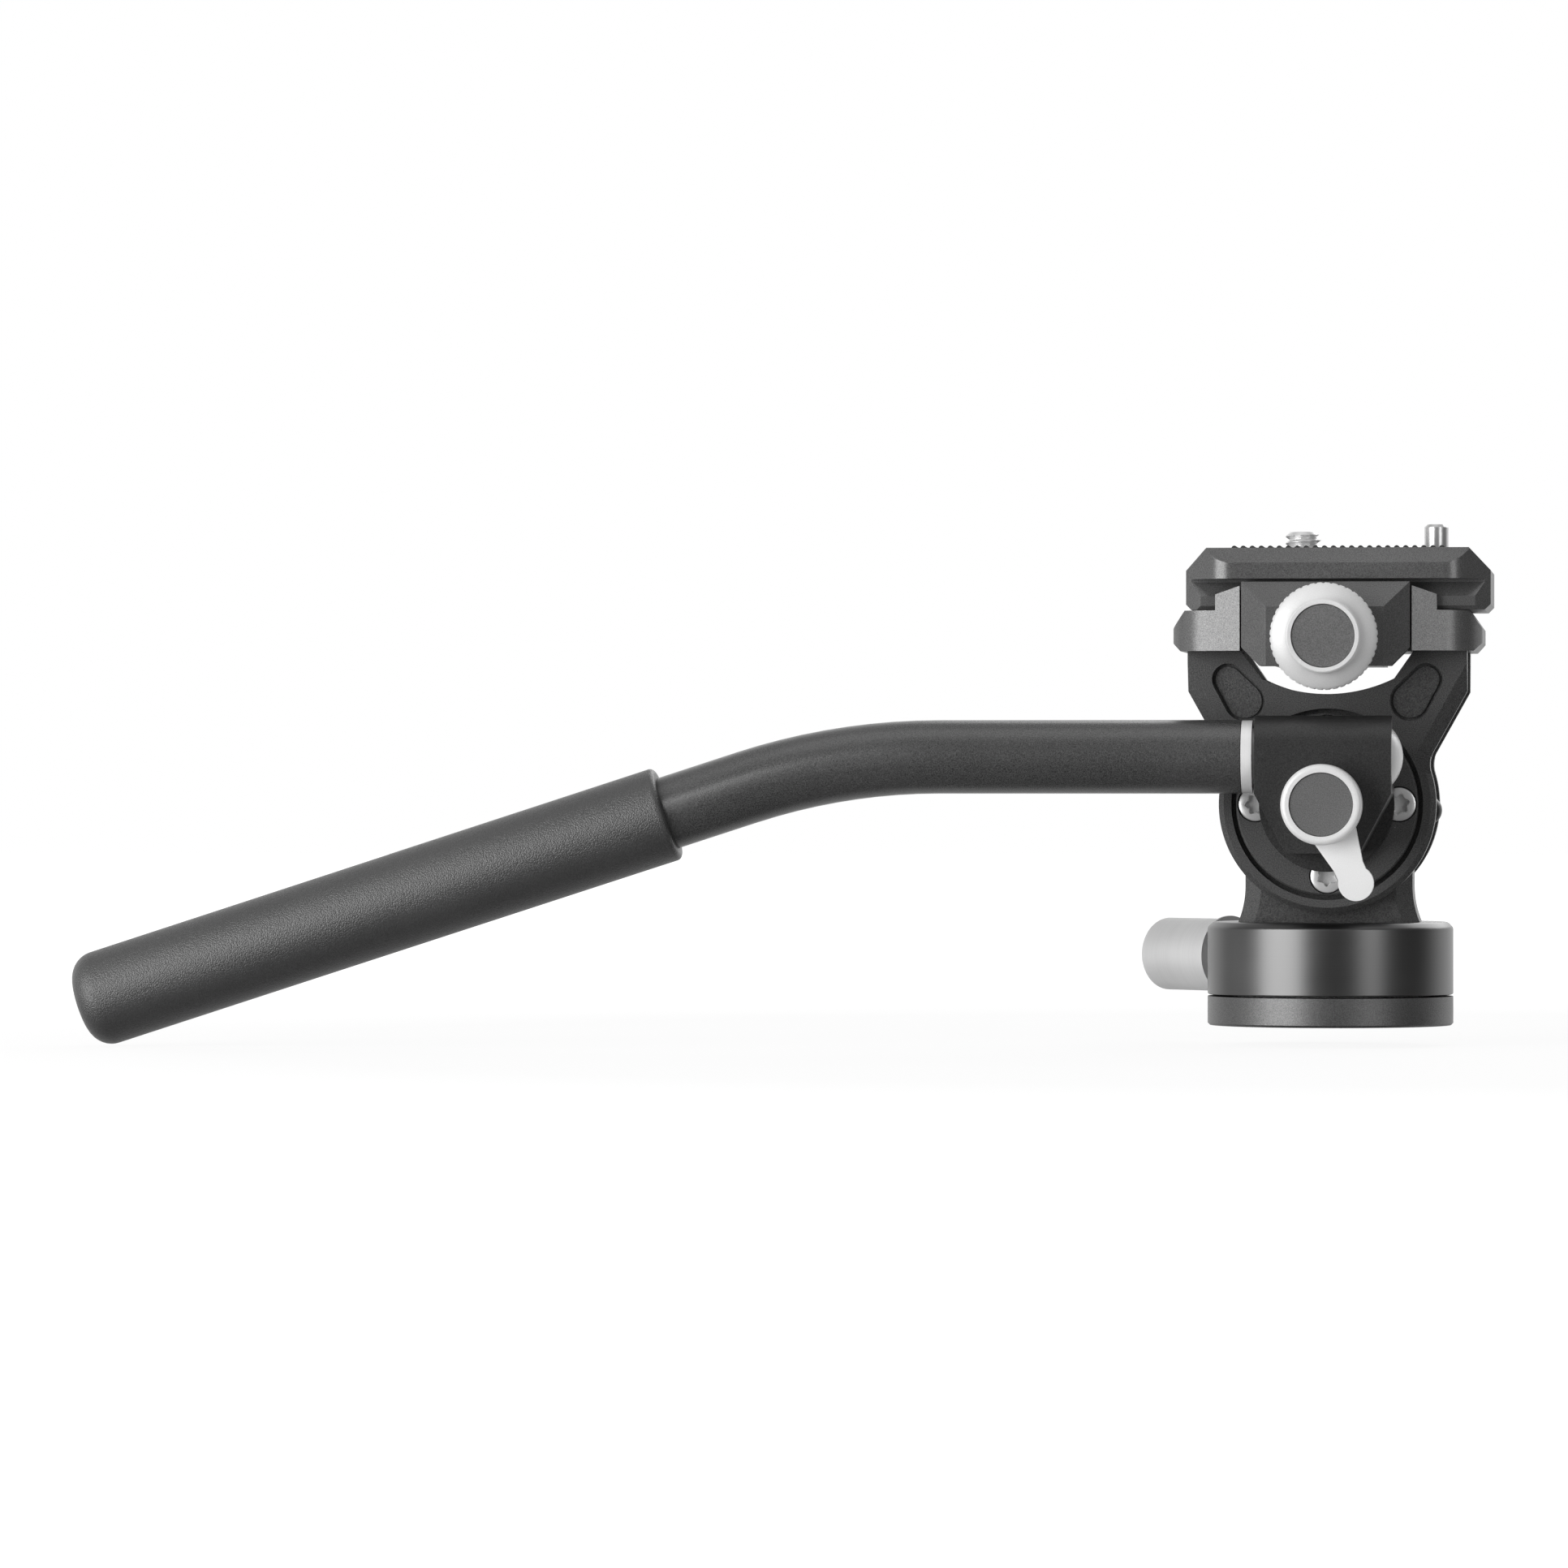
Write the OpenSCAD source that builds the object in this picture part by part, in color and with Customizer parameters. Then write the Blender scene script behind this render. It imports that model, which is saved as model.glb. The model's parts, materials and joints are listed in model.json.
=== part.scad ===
// Fluid video head with a bent pan handle and a dovetail quick release.
// Origin: centre of the seat on the tripod. +Z up, +X where the lens points,
// handle towards -X, handle side -Y. All sizes in millimetres.

/* [Base] */
// Radius of the base plate and of the pan housing
base_r = 22; // [21.5:0.1:24]
// Thickness of the base plate
base_h = 5.2; // [4.8:0.1:6]
// Height of the pan housing above the seam
housing_h = 13; // [12.6:0.1:15]
// Chamfer on the top edge of the pan housing
housing_chamfer = 1; // [0.5:0.1:1.5]
// Wall radius of the tapped tripod hole
tripod_hole_r = 4; // [3.8:0.05:4.3]
// Depth of the tapped tripod hole
tripod_hole_l = 9; // [7:0.5:10]
// Radius of the spindle that the pan housing turns on
spindle_r = 8; // [7.6:0.1:8.4]

/* [Pan lock] */
// Direction of the pan lock knob around the base, from +X
lock_angle = 135; // [125:1:145]
// Radius of a lock knob
lock_knob_r = 6.6; // [6:0.1:7.2]
// Length of a lock knob
lock_knob_l = 17.6; // [14:0.2:20]
// Radius of a lock screw
lock_screw_r = 2.4; // [2:0.1:2.6]
// Distance from the pan axis to the inner end of the pan lock knob
lock_knob_start = 26.7; // [26.3:0.1:28]

/* [Stand] */
// Width of the stand's foot
stand_w = 32.4; // [31:0.2:34]
// Width of the stand at its waist
stand_waist_w = 29.8; // [28:0.2:30.6]
// Thickness of the stand along the tilt axis
stand_t = 19.4; // [18.6:0.2:20.2]
// Height of the tilt axis above the seat
tilt_z = 39.6; // [39.2:0.1:42]
// Radius of the damper barrel at the top of the stand
barrel_r = 17; // [16:0.1:17.4]
// Radius of the grease chamber in the barrel
chamber_r = 12; // [11:0.1:12.4]
// Radius of the tilt axle
axle_r = 5; // [4.4:0.1:5.6]

/* [Cheeks] */
// Thickness of a cheek
cheek_t = 5; // [4.6:0.1:5.6]
// Radius of a cheek around the tilt axis
cheek_r = 19.3; // [18.8:0.1:20]
// Width across the arms of a cheek
arm_w = 49.6; // [48:0.2:52]
// Height of the arm tops above the tilt axis
arm_h = 27.2; // [27:0.1:29]
// Height above the tilt axis at which the arms start to taper
arm_taper_h = 20.1; // [19:0.1:21]
// Width of the bevel along the tapered arm edge
arm_bevel = 2.5; // [1:0.1:3]
// Bevel around the round edge of a cheek
rim_bevel = 0.9; // [0.4:0.1:1.2]
// Radius of a hub cap
cap_r = 16.2; // [15.8:0.1:16.4]
// Width of the dark ring groove around a hub cap
groove_w = 0.8; // [0.4:0.1:1]
// Radius of the circle that the hub screws sit on
hub_circle_r = 12.75; // [12.4:0.05:12.9]
// Radius of a hub screw head
hub_head_r = 3.05; // [2.7:0.05:3.2]

/* [Clamp platform] */
// Length of the platform along the lens direction
platform_l = 55; // [53:0.5:58]
// How far the platform's sides lie inside the quick plate's
platform_in = 0.4; // [0.2:0.1:0.6]
// Height of the platform
platform_h = 7.2; // [7:0.1:8]
// Radius of the platform's upright corners
platform_corner_r = 9; // [5:0.5:9]
// Slant of the platform's near face on either side of the jaw
flank_angle = 18; // [14:1:22]
// Width of the movable jaw
jaw_w = 29.8; // [28:0.2:31]
// How far the jaw's front stands out from the platform
jaw_proud = 5; // [4:0.1:5.4]
// Drop of the clamp screw below the platform top
clamp_screw_drop = 4.8; // [4.6:0.1:5]
// Radius of the clamp screw
clamp_screw_r = 2.4; // [2:0.1:2.5]
// Radius of the clamp knob
clamp_knob_r = 9.45; // [8.6:0.05:9.6]
// Depth of the clamp knob
clamp_knob_l = 7.6; // [7:0.1:9]
// Notches around the clamp knob
clamp_notches = 44; // [24:1:48]

/* [Quick plate] */
// Length of the quick plate
plate_l = 54; // [52:0.5:58]
// Width of the quick plate's top
plate_w = 44.8; // [44:0.1:46]
// Height of the quick plate
plate_h = 11; // [10.6:0.1:12]
// Shift of the quick plate along the platform
plate_x = 2; // [-4:0.5:4]
// Width across the dovetail
dovetail_w = 38; // [37.6:0.1:38.2]
// Depth of the dovetail undercut
dovetail_d = 1.7; // [1.4:0.1:1.8]
// Pitch of the ridges on the pad
ridge_pitch = 1.6; // [1.4:0.1:2]
// Radius of the camera screw
camera_screw_r = 3.17; // [3.1:0.01:3.2]
// Reach of the camera screw above the plate
camera_screw_up = 3.3; // [2.5:0.1:5.5]
// Place of the camera screw from the plate's middle
camera_screw_x = -6.85; // [-8:0.05:-4]
// Radius of the video pin
pin_r = 2.15; // [1.9:0.05:2.3]
// Reach of the video pin above the plate
pin_up = 4.6; // [4:0.1:5]
// Distance of the video pin from the front end of the pad
pin_in = 2.3; // [1.9:0.1:3.3]

/* [Handle] */
// Outer radius of the handle tube
tube_r = 6.5; // [6.2:0.1:6.8]
// Wall of the handle tube
tube_wall = 1.5; // [1.2:0.1:1.8]
// Height of the tube above the tilt axis
tube_up = 8.4; // [8.2:0.1:9]
// Distance from the tilt axis to the bend
bend_x = 85.5; // [80:0.5:110]
// Angle of the bend
bend_angle = 18; // [8:1:30]
// Radius of the bend, on the tube's axis
bend_r = 111; // [60:1:130]
// Radius of the grip
grip_r = 8.5; // [8.1:0.1:10]
// Length of the grip
grip_l = 111; // [90:1:140]
// Distance from the bend to the grip
grip_start = 32.3; // [28:0.1:50]
// Length of the block that holds the handle
block_l = 24; // [23:0.2:25]
// Radius of the block's round foot
foot_r = 12; // [11:0.1:12.4]

/* [Handle lever] */
// Radius of the lever's ring
lever_r = 7.1; // [6.9:0.1:7.4]
// Depth of the lever's ring
lever_l = 6.4; // [5.6:0.1:7.5]
// Length of the lever from its axis to the middle of its tip
lever_reach = 15; // [13:0.1:18]
// Radius of the lever's tip
lever_tip_r = 3.1; // [2.7:0.1:3.4]
// Swing of the lever from straight down, towards the front
lever_angle = 23.4; // [0:0.2:60]
// Radius of the round insert in a knob
insert_r = 5.6; // [5.2:0.1:5.8]

/* [Clearances] */
// Radial clearance of a shaft that turns or slides
run_fit = 0.05; // [0.03:0.01:0.08]
// Radial clearance of a piece pressed or screwed in place
seat_fit = 0.02; // [0.01:0.01:0.04]
// Gap between sliding flat faces
slide_gap = 0.1; // [0.08:0.01:0.15]
// Gap between pieces that move past each other
part_gap = 0.3; // [0.25:0.01:0.35]

/* [Hidden] */
$fn = 64;
over = 1;

// Pan stack, from the seat up
housing_z = base_h + part_gap;
housing_top = housing_z + housing_h;
washer_t = 0.9;
washer_pocket_r = base_r - 3.6;
bush_t = 2.4;
bush_h = 2.7;
nut_r = spindle_r + 3;
nut_h = 2.2;
nut_top = housing_top - part_gap;
nut_z = nut_top - nut_h;
nut_pocket_z = nut_z - washer_t - slide_gap;
bushing_wall = 2.2;
bottom_round = 0.4;

// Pan lock
lock_z = nut_pocket_z - lock_screw_r - 0.5;
lock_boss_r = 5;
lock_boss_end = base_r + 3.2;
lock_pad_l = 1.4;
lock_skirt = 0.55;
lock_skirt_l = 1.2;
lock_neck_r = 4;
knob_round = 1.1;

// Stand
stand_chamfer = 2.9;
waist_z = housing_top + 6.5;
stand_screw_r = 1.5;
stand_head_r = 2.6;
stand_head_h = 2.4;
stand_screw_x = 12.5;
stand_screw_y = 5.5;
stand_screw_bite = 4;
bush_lid_t = 3;
seal_r = 0.6;
plug_r = 1.4;
plug_head_r = 2.4;
plug_head_h = 3.4;
plug_bite = 3.4;
plug_flat = barrel_r - 0.4;
plug_drop = 1.1;

// Cheeks and hub, measured out from the head's middle plane
cheek_in = stand_t / 2 + part_gap;
cheek_out = cheek_in + cheek_t;
cap_t = 3;
cap_in = cheek_out - cap_t;
friction_t = 0.8;
friction_in_r = chamber_r + 0.4;
friction_out_r = barrel_r - 0.5;
hub_screw_r = 1.5;
hub_head_h = 1.7;
hub_screw_end = cheek_in + friction_t + 0.15;
axle_half = cap_in;
axle_tap_l = 9;
waist_fillet_r = 5;
taper_slope = 1.79;
window_arc_r = 27;
window_floor = 19.6;
window_corner_w = 23.8;
window_slope = 0.7;
pocket_d = 1.2;
pocket_top = [17.6, 22.2];
pocket_top_r = 2.85;
pocket_low = [14.7, 18.4];
pocket_low_r = 3.6;
pocket_rim_w = 0.55;
pocket_rim_d = 0.5;

// Platform and jaw
platform_w = plate_w - 2 * platform_in;
platform_z = tilt_z + arm_h;
bed_z = platform_z + platform_h;
end_chamfer = [2.3, 3.2];
foot_chamfer = 1.5;
keel_w = 19.6;
keel_h = 2.5;
keel_half = 16;
notch_y = 16.6;
clamp_z = bed_z - clamp_screw_drop;
plate_z = bed_z + slide_gap;
plate_top = plate_z + plate_h;
flange_half = dovetail_w / 2;
throat_half = flange_half - dovetail_d;
lip_h = 2.4;
lip_chamfer = 0.7;
flare_h = 2.5;
throat_h = 0.55;
hook_gap = 0.15;
jaw_top = plate_z + lip_h + flare_h;
jaw_back = notch_y + part_gap;
jaw_shoulder = platform_w / 2 + 0.5;
jaw_front = platform_w / 2 + jaw_proud;
jaw_bottom = platform_z - 2.7;
jaw_corner = 3.3;
jaw_bevel = jaw_front - jaw_shoulder;
post_w = 4.4;
post_in = jaw_w / 2 + part_gap;
post_back = flange_half + part_gap;
post_h = 4.3;
post_slant = 1.5;
fixed_jaw_l = 44;
clamp_screw_end = 6;
guide_r = 1.5;
guide_x = 11.3;
guide_z = bed_z - 3.6;
guide_end = 5;
spring_wire_r = 0.2;
spring_pocket_r = 2.6;
spring_r = 2.05;
jaw_spring_l = 6;
platform_screw_r = 1.4;
platform_head_r = 2.8;
platform_head_h = 2.6;
platform_screw_x = 21.3;
platform_screw_y = cheek_in + cheek_t / 2 - 0.2;
platform_screw_bite = 6;

// Clamp knob
knob_gap_y = -jaw_front - part_gap;
knob_band = 4.2;
knob_edge = 0.5;
knob_ring_h = 1.4;
knob_face_r = insert_r + 1;
insert_t = 1.4;
insert_drop = 0.3;
notch_r = 0.4;
notch_d = 0.15;

// Quick plate
plate_bevel = 2.7;
plate_end_bevel = [3.8, 4];
plate_foot_bevel = 1;
plate_corner_r = 5.1;
plate_corner_cut = 4.6;
pad_l = 38.6;
pad_w = 34;
pad_t = 1;
ridge_r = 0.5;
ridge_count = floor(pad_l / ridge_pitch);
screw_head_r = 6;
screw_head_h = 2.5;
screw_shoulder_r = camera_screw_r + 0.8;
pin_x = pad_l / 2 - pin_in;
pin_guide_r = pin_r + 0.55;
pin_flange_r = pin_guide_r + 0.55;
pin_flange_h = 1.2;
pin_roof = 2.8;
pin_plug_t = 0.7;
pin_pocket_r = pin_flange_r + run_fit;
pin_flange_top = plate_top - pin_roof - slide_gap;
pin_spring_z = plate_z + 2 * slide_gap + pin_plug_t + slide_gap;
pin_spring_top = pin_flange_top - pin_flange_h - slide_gap;
pin_spring_r = pin_flange_r - 2 * spring_wire_r;

// Handle: the tube runs clear of the base at every tilt
tube_y = -(base_r + tube_r + 0.5);
tube_z = tilt_z + tube_up;
tube_in = tube_r - tube_wall;
block_wall = 0.75;
block_r = tube_r + block_wall;
block_front = tube_y - block_r;
block_half = block_l / 2;
block_drop = 8.6;
block_waist = 1.9;
block_tip_w = 12.8;
foot_t = 2.2;
foot_face = -cheek_out - part_gap;
collar_gap = 0.5;
collar_l = 1.9;
collar_r = tube_r - 0.1;
tube_start = block_half + collar_gap + collar_l + 0.1;
spigot_in_tube = 18;
dome_up = 1.9;
dome_r = 7.2;
bend_back = bend_r * tan(bend_angle / 2);
bend_lap = 0.5;
grip_round = 4.4;
grip_lip = 1;
grip_end_wall = 4;

// Handle lever
lever_back = block_front - part_gap;
lever_front = lever_back - lever_l;
lever_arm_t = 2.5;
lever_root_w = 7.7;
lever_waist_w = 5.2;
lever_round = 0.9;
lever_screw_r = lock_screw_r;
lever_screw_end = -(axle_half - axle_tap_l + 1);

// Placing helpers

// Upright round bar from z0 to z1
module z_bar(r, z0, z1) {
    translate([0, 0, z0])
        cylinder(r = r, h = z1 - z0);
}

// Round bar along the tilt direction, from y0 to y1
module y_bar(r, y0, y1) {
    translate([0, y0, 0])
        rotate([-90, 0, 0])
            cylinder(r = r, h = y1 - y0);
}

// Round bar along the lens direction, from x0 to x1
module x_bar(r, x0, x1) {
    translate([x0, 0, 0])
        rotate([0, 90, 0])
            cylinder(r = r, h = x1 - x0);
}

// Outline in X and Z, carried from y0 to y1
module xz_slab(y0, y1) {
    translate([0, y1, 0])
        rotate([90, 0, 0])
            linear_extrude(y1 - y0)
                children();
}

// Outline in Y and Z, carried from x0 to x1
module yz_slab(x0, x1) {
    translate([x0, 0, 0])
        rotate([90, 0, 90])
            linear_extrude(x1 - x0)
                children();
}

// Profile of radius and distance, turned about the tilt direction; distance grows towards -Y
module turned_out(y0) {
    translate([0, y0, 0])
        rotate([90, 0, 0])
            rotate_extrude()
                children();
}

module on_tilt_axis() {
    translate([0, 0, tilt_z])
        children();
}

module on_plug_axis() {
    translate([0, 0, tilt_z - plug_drop])
        children();
}

module on_tube_axis() {
    translate([0, tube_y, tube_z])
        children();
}

// Child towards the pan lock: its +X runs out along the lock screw
module towards_lock() {
    translate([0, 0, lock_z])
        rotate([0, 0, lock_angle])
            children();
}

module both_ways_x() {
    children();
    mirror([1, 0, 0])
        children();
}

module both_ways_y() {
    children();
    mirror([0, 1, 0])
        children();
}

module four_corners(x, y) {
    for (sx = [-1, 1], sy = [-1, 1])
        translate([sx * x, sy * y, 0])
            children();
}

// Right half of an outline, made whole about the upright axis
function whole(half) = concat(half, [for (i = [len(half) - 1:-1:0]) [-half[i][0], half[i][1]]]);

// Ring between two radii
module z_ring(inner, outer, z0, z1) {
    difference() {
        z_bar(outer, z0, z1);
        z_bar(inner, z0 - over, z1 + over);
    }
}

// Close-wound spring along Z as one swept wire
module spring(r, wire_r, length, turns) {
    sides = 6;
    steps = 10 * turns;
    rise = length - 2 * wire_r;
    rings = [
        for (i = [0:steps])
            let (a = 360 * turns * i / steps, z = wire_r + rise * i / steps)
            [for (k = [0:sides - 1])
                let (b = 360 * k / sides, d = r + wire_r * cos(b))
                [d * cos(a), d * sin(a), z + wire_r * sin(b)]]
    ];
    points = [for (ring = rings, p = ring) p];
    walls = [
        for (i = [0:steps - 1], k = [0:sides - 1])
            let (n = (k + 1) % sides, low = i * sides, high = low + sides)
            each [[low + k, low + n, high + n], [low + k, high + n, high + k]]
    ];
    first = [for (k = [1:sides - 2]) [0, k + 1, k]];
    last_at = steps * sides;
    last = [for (k = [1:sides - 2]) [last_at, last_at + k, last_at + k + 1]];
    polyhedron(points, concat(walls, first, last));
}

// Base and pan bearing

module base_plate() {
    color("#3a3a3c")
        difference() {
            union() {
                rotate_extrude()
                    polygon([
                        [0, 0], [base_r - bottom_round, 0], [base_r, bottom_round],
                        [base_r, base_h], [0, base_h]
                    ]);
                z_bar(spindle_r, base_h - over, nut_top);
            }
            z_bar(tripod_hole_r + bushing_wall + seat_fit, -over, tripod_hole_l);
        }
}

module tripod_bushing() {
    color("silver")
        z_ring(tripod_hole_r, tripod_hole_r + bushing_wall, 0, tripod_hole_l);
}

module pan_retaining_nut() {
    color("dimgray")
        z_ring(spindle_r + seat_fit, nut_r, nut_z, nut_top);
}

module pan_housing() {
    color("#333335")
        difference() {
            union() {
                rotate_extrude()
                    polygon([
                        [0, housing_z], [base_r, housing_z],
                        [base_r, housing_top - housing_chamfer],
                        [base_r - housing_chamfer, housing_top], [0, housing_top]
                    ]);
                towards_lock()
                    x_bar(lock_boss_r, base_r - 3, lock_boss_end);
            }
            z_bar(washer_pocket_r, housing_z - over, base_h + washer_t + 2 * slide_gap);
            z_bar(spindle_r + bush_t, housing_z - over, base_h + washer_t + 2 * slide_gap + bush_h);
            z_bar(spindle_r + part_gap, housing_z, housing_top + over);
            z_bar(nut_r + part_gap, nut_pocket_z, housing_top + over);
            towards_lock()
                x_bar(lock_screw_r + run_fit, 0, lock_boss_end + over);
            four_corners(stand_screw_x, stand_screw_y) {
                z_bar(stand_screw_r + seat_fit, housing_z, housing_top + over);
                z_bar(stand_head_r + seat_fit, housing_z, housing_z + stand_head_h + 2 * washer_t);
            }
        }
}

module pan_bush() {
    color("peru")
        z_ring(
            spindle_r + run_fit, spindle_r + bush_t - seat_fit,
            base_h + washer_t + 2 * slide_gap, base_h + washer_t + 2 * slide_gap + bush_h
        );
}

module pan_thrust_washer() {
    color("ivory")
        z_ring(
            spindle_r + part_gap, washer_pocket_r - seat_fit,
            base_h + slide_gap, base_h + slide_gap + washer_t
        );
}

module pan_drag_washer() {
    color("ivory")
        z_ring(spindle_r + part_gap, nut_r, nut_pocket_z, nut_pocket_z + washer_t);
}

// Pan lock

module pan_lock_pad() {
    color("whitesmoke")
        towards_lock()
            difference() {
                x_bar(lock_screw_r, spindle_r / 2, spindle_r + lock_pad_l);
                z_bar(spindle_r + run_fit, -lock_screw_r - over, lock_screw_r + over);
            }
}

// Plain turned knob with a flared skirt, from x = 0 out along +X, bored for its screw
module lock_knob_body() {
    difference() {
        rotate([0, 90, 0])
            rotate_extrude()
                difference() {
                    union() {
                        square([lock_knob_r, lock_knob_l - knob_round]);
                        square([lock_knob_r - knob_round, lock_knob_l]);
                        translate([lock_knob_r - knob_round, lock_knob_l - knob_round])
                            circle(knob_round);
                        polygon([
                            [0, 0], [lock_knob_r + lock_skirt, 0],
                            [lock_knob_r + lock_skirt, lock_skirt_l / 2],
                            [lock_knob_r, lock_skirt_l], [0, lock_skirt_l]
                        ]);
                    }
                    translate([-lock_knob_r, -over])
                        square([lock_knob_r, lock_knob_l + 2 * over]);
                }
        x_bar(lock_screw_r + seat_fit, -over, lock_knob_l / 2);
    }
}

module pan_lock_knob() {
    color("#b9b9bb")
        towards_lock() {
            translate([lock_knob_start, 0, 0])
                lock_knob_body();
            difference() {
                x_bar(lock_neck_r, lock_boss_end + part_gap, lock_knob_start + seat_fit);
                x_bar(lock_screw_r + seat_fit, lock_boss_end, lock_knob_start + over);
            }
        }
}

module pan_lock_screw() {
    color("silver")
        towards_lock()
            x_bar(lock_screw_r, spindle_r + lock_pad_l + slide_gap, lock_knob_start + lock_knob_l / 2 - over);
}

// Stand and grease damper

// Half outline of the stand: wide foot, concave waist, straight up into the barrel.
// The same waist curve serves the sides and the slanted corners.
module waisted_outline(foot_half, waist_half, top) {
    inset = foot_half - waist_half;
    rise = waist_z - housing_top;
    waist_r = (inset * inset + rise * rise) / (2 * inset);
    difference() {
        translate([-foot_half, housing_top])
            square([2 * foot_half, top - housing_top]);
        both_ways_x()
            translate([waist_half + waist_r, waist_z])
                circle(waist_r, $fn = 96);
        both_ways_x()
            translate([waist_half, waist_z])
                square([foot_half, top]);
    }
}

module stand() {
    corner_foot = (stand_w / 2 + stand_t / 2 - stand_chamfer) / sqrt(2);
    corner_waist = (stand_waist_w / 2 + stand_t / 2 - stand_chamfer) / sqrt(2);
    reach = stand_w + stand_t;
    color("#242425")
        difference() {
            union() {
                intersection() {
                    xz_slab(-stand_t / 2, stand_t / 2)
                        waisted_outline(stand_w / 2, stand_waist_w / 2, tilt_z);
                    rotate([0, 0, 45])
                        xz_slab(-reach, reach)
                            waisted_outline(corner_foot, corner_waist, tilt_z);
                    rotate([0, 0, -45])
                        xz_slab(-reach, reach)
                            waisted_outline(corner_foot, corner_waist, tilt_z);
                }
                on_tilt_axis()
                    y_bar(barrel_r, -stand_t / 2, stand_t / 2);
            }
            on_tilt_axis()
                y_bar(chamber_r, -stand_t / 2 - over, stand_t / 2 + over);
            on_plug_axis() {
                x_bar(plug_r + seat_fit, chamber_r / 2, barrel_r + over);
                x_bar(plug_head_r + part_gap, plug_flat, barrel_r + over);
            }
            four_corners(stand_screw_x, stand_screw_y)
                z_bar(stand_screw_r + seat_fit, housing_top - over, housing_top + stand_screw_bite);
        }
}

module stand_screws() {
    head_z = base_h + washer_t + 2 * slide_gap;
    color("dimgray")
        four_corners(stand_screw_x, stand_screw_y) {
            z_bar(stand_head_r, head_z, head_z + stand_head_h);
            z_bar(stand_screw_r, head_z + stand_head_h / 2, housing_top + stand_screw_bite - seat_fit);
        }
}

// Lid of the grease chamber with the axle's plain bearing, on the +Y end
module tilt_bush() {
    outer = stand_t / 2;
    difference() {
        on_tilt_axis()
            y_bar(chamber_r - seat_fit, outer - bush_lid_t, outer);
        on_tilt_axis()
            y_bar(axle_r + run_fit, 0, outer + over);
        on_tilt_axis()
            y_bar(axle_r + run_fit + 2 * seal_r, 0, outer - bush_lid_t + 2 * seal_r);
    }
}

module tilt_bush_far() {
    color("peru")
        tilt_bush();
}

module tilt_bush_near() {
    color("peru")
        mirror([0, 1, 0])
            tilt_bush();
}

module grease_seals() {
    seal_y = stand_t / 2 - bush_lid_t + seal_r;
    color("black")
        both_ways_y()
            on_tilt_axis()
                translate([0, seal_y, 0])
                    rotate([90, 0, 0])
                        rotate_extrude()
                            translate([axle_r + run_fit + seal_r - seat_fit, 0])
                                circle(seal_r - seat_fit, $fn = 24);
}

module grease_plug() {
    color("#161616")
        on_plug_axis() {
            x_bar(plug_r, plug_flat - plug_bite, plug_flat + seat_fit);
            intersection() {
                x_bar(plug_head_r, plug_flat, plug_flat + plug_head_h + over);
                translate([plug_flat + plug_head_h - plug_head_r * 1.1, 0, 0])
                    sphere(plug_head_r * 1.1);
                x_bar(plug_head_r + over, plug_flat, plug_flat + plug_head_h);
            }
            x_bar(plug_head_r, plug_flat, plug_flat + plug_head_h - plug_head_r * 1.1 + seat_fit);
        }
}

module tilt_axle() {
    color("silver")
        on_tilt_axis()
            difference() {
                y_bar(axle_r, -axle_half, axle_half);
                both_ways_y()
                    y_bar(lock_screw_r + run_fit, axle_half - axle_tap_l, axle_half + over);
            }
}

module damper_rotor() {
    half = stand_t / 2 - bush_lid_t - part_gap;
    color("gray")
        on_tilt_axis()
            difference() {
                y_bar(chamber_r - 2 * part_gap, -half, half);
                y_bar(axle_r + seat_fit, -half - over, half + over);
            }
}

module friction_washers() {
    color("ivory")
        both_ways_y()
            on_tilt_axis()
                difference() {
                    y_bar(friction_out_r, stand_t / 2 + slide_gap, cheek_in + friction_t);
                    y_bar(friction_in_r, 0, cheek_out);
                }
}

// Cheeks and hubs

// Where the arm's tapered edge, rounded off, meets the round of the cheek
taper_dir = [-1, -taper_slope] / norm([1, taper_slope]);
taper_out = [taper_slope, -1] / norm([1, taper_slope]);
taper_top = [arm_w / 2, arm_taper_h];
fillet_line = taper_top + taper_out * waist_fillet_r;
fillet_along = fillet_line * taper_dir;
fillet_far = fillet_line * fillet_line - pow(cheek_r + waist_fillet_r, 2);
fillet_mid = fillet_line + taper_dir * (-fillet_along - sqrt(fillet_along * fillet_along - fillet_far));
fillet_on_taper = fillet_mid - taper_out * waist_fillet_r;
fillet_on_round = fillet_mid * cheek_r / (cheek_r + waist_fillet_r);

// Shield-shaped plate: round hub, two tapering arms, and a round web where they meet
module cheek_plate() {
    y_bar(cheek_r, -cheek_out, -cheek_in);
    xz_slab(-cheek_out, -cheek_in)
        polygon(whole([
            [arm_w / 2, arm_h], taper_top, fillet_on_taper + taper_dir * waist_fillet_r, [over, 0]
        ]));
    both_ways_x()
        xz_slab(-cheek_out, -cheek_in)
            difference() {
                polygon([
                    fillet_on_taper - taper_out * over, fillet_mid,
                    fillet_on_round * (1 - over / cheek_r), fillet_on_round * 0.7
                ]);
                translate(fillet_mid)
                    circle(waist_fillet_r + seat_fit);
            }
}

module cheek_window() {
    low = window_floor - 2;
    corner_z = window_floor + window_arc_r - sqrt(pow(window_arc_r, 2) - pow(window_corner_w / 2, 2));
    low_half = window_corner_w / 2 - (corner_z - low) * window_slope;
    top_half = window_corner_w / 2 + (arm_h + over - corner_z) * window_slope;
    intersection() {
        translate([0, window_floor + window_arc_r])
            circle(window_arc_r, $fn = 96);
        polygon([
            [-low_half, low], [low_half, low], [top_half, arm_h + over], [-top_half, arm_h + over]
        ]);
    }
}

// Two circles joined by their outer tangents
module teardrop(a, ra, b, rb) {
    along = b - a;
    length = norm(along);
    u = along / length;
    v = [-u[1], u[0]];
    c = (ra - rb) / length;
    s = sqrt(1 - c * c);
    translate(a)
        circle(ra);
    translate(b)
        circle(rb);
    polygon([
        a + ra * (c * u + s * v), b + rb * (c * u + s * v),
        b + rb * (c * u - s * v), a + ra * (c * u - s * v)
    ]);
}

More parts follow.
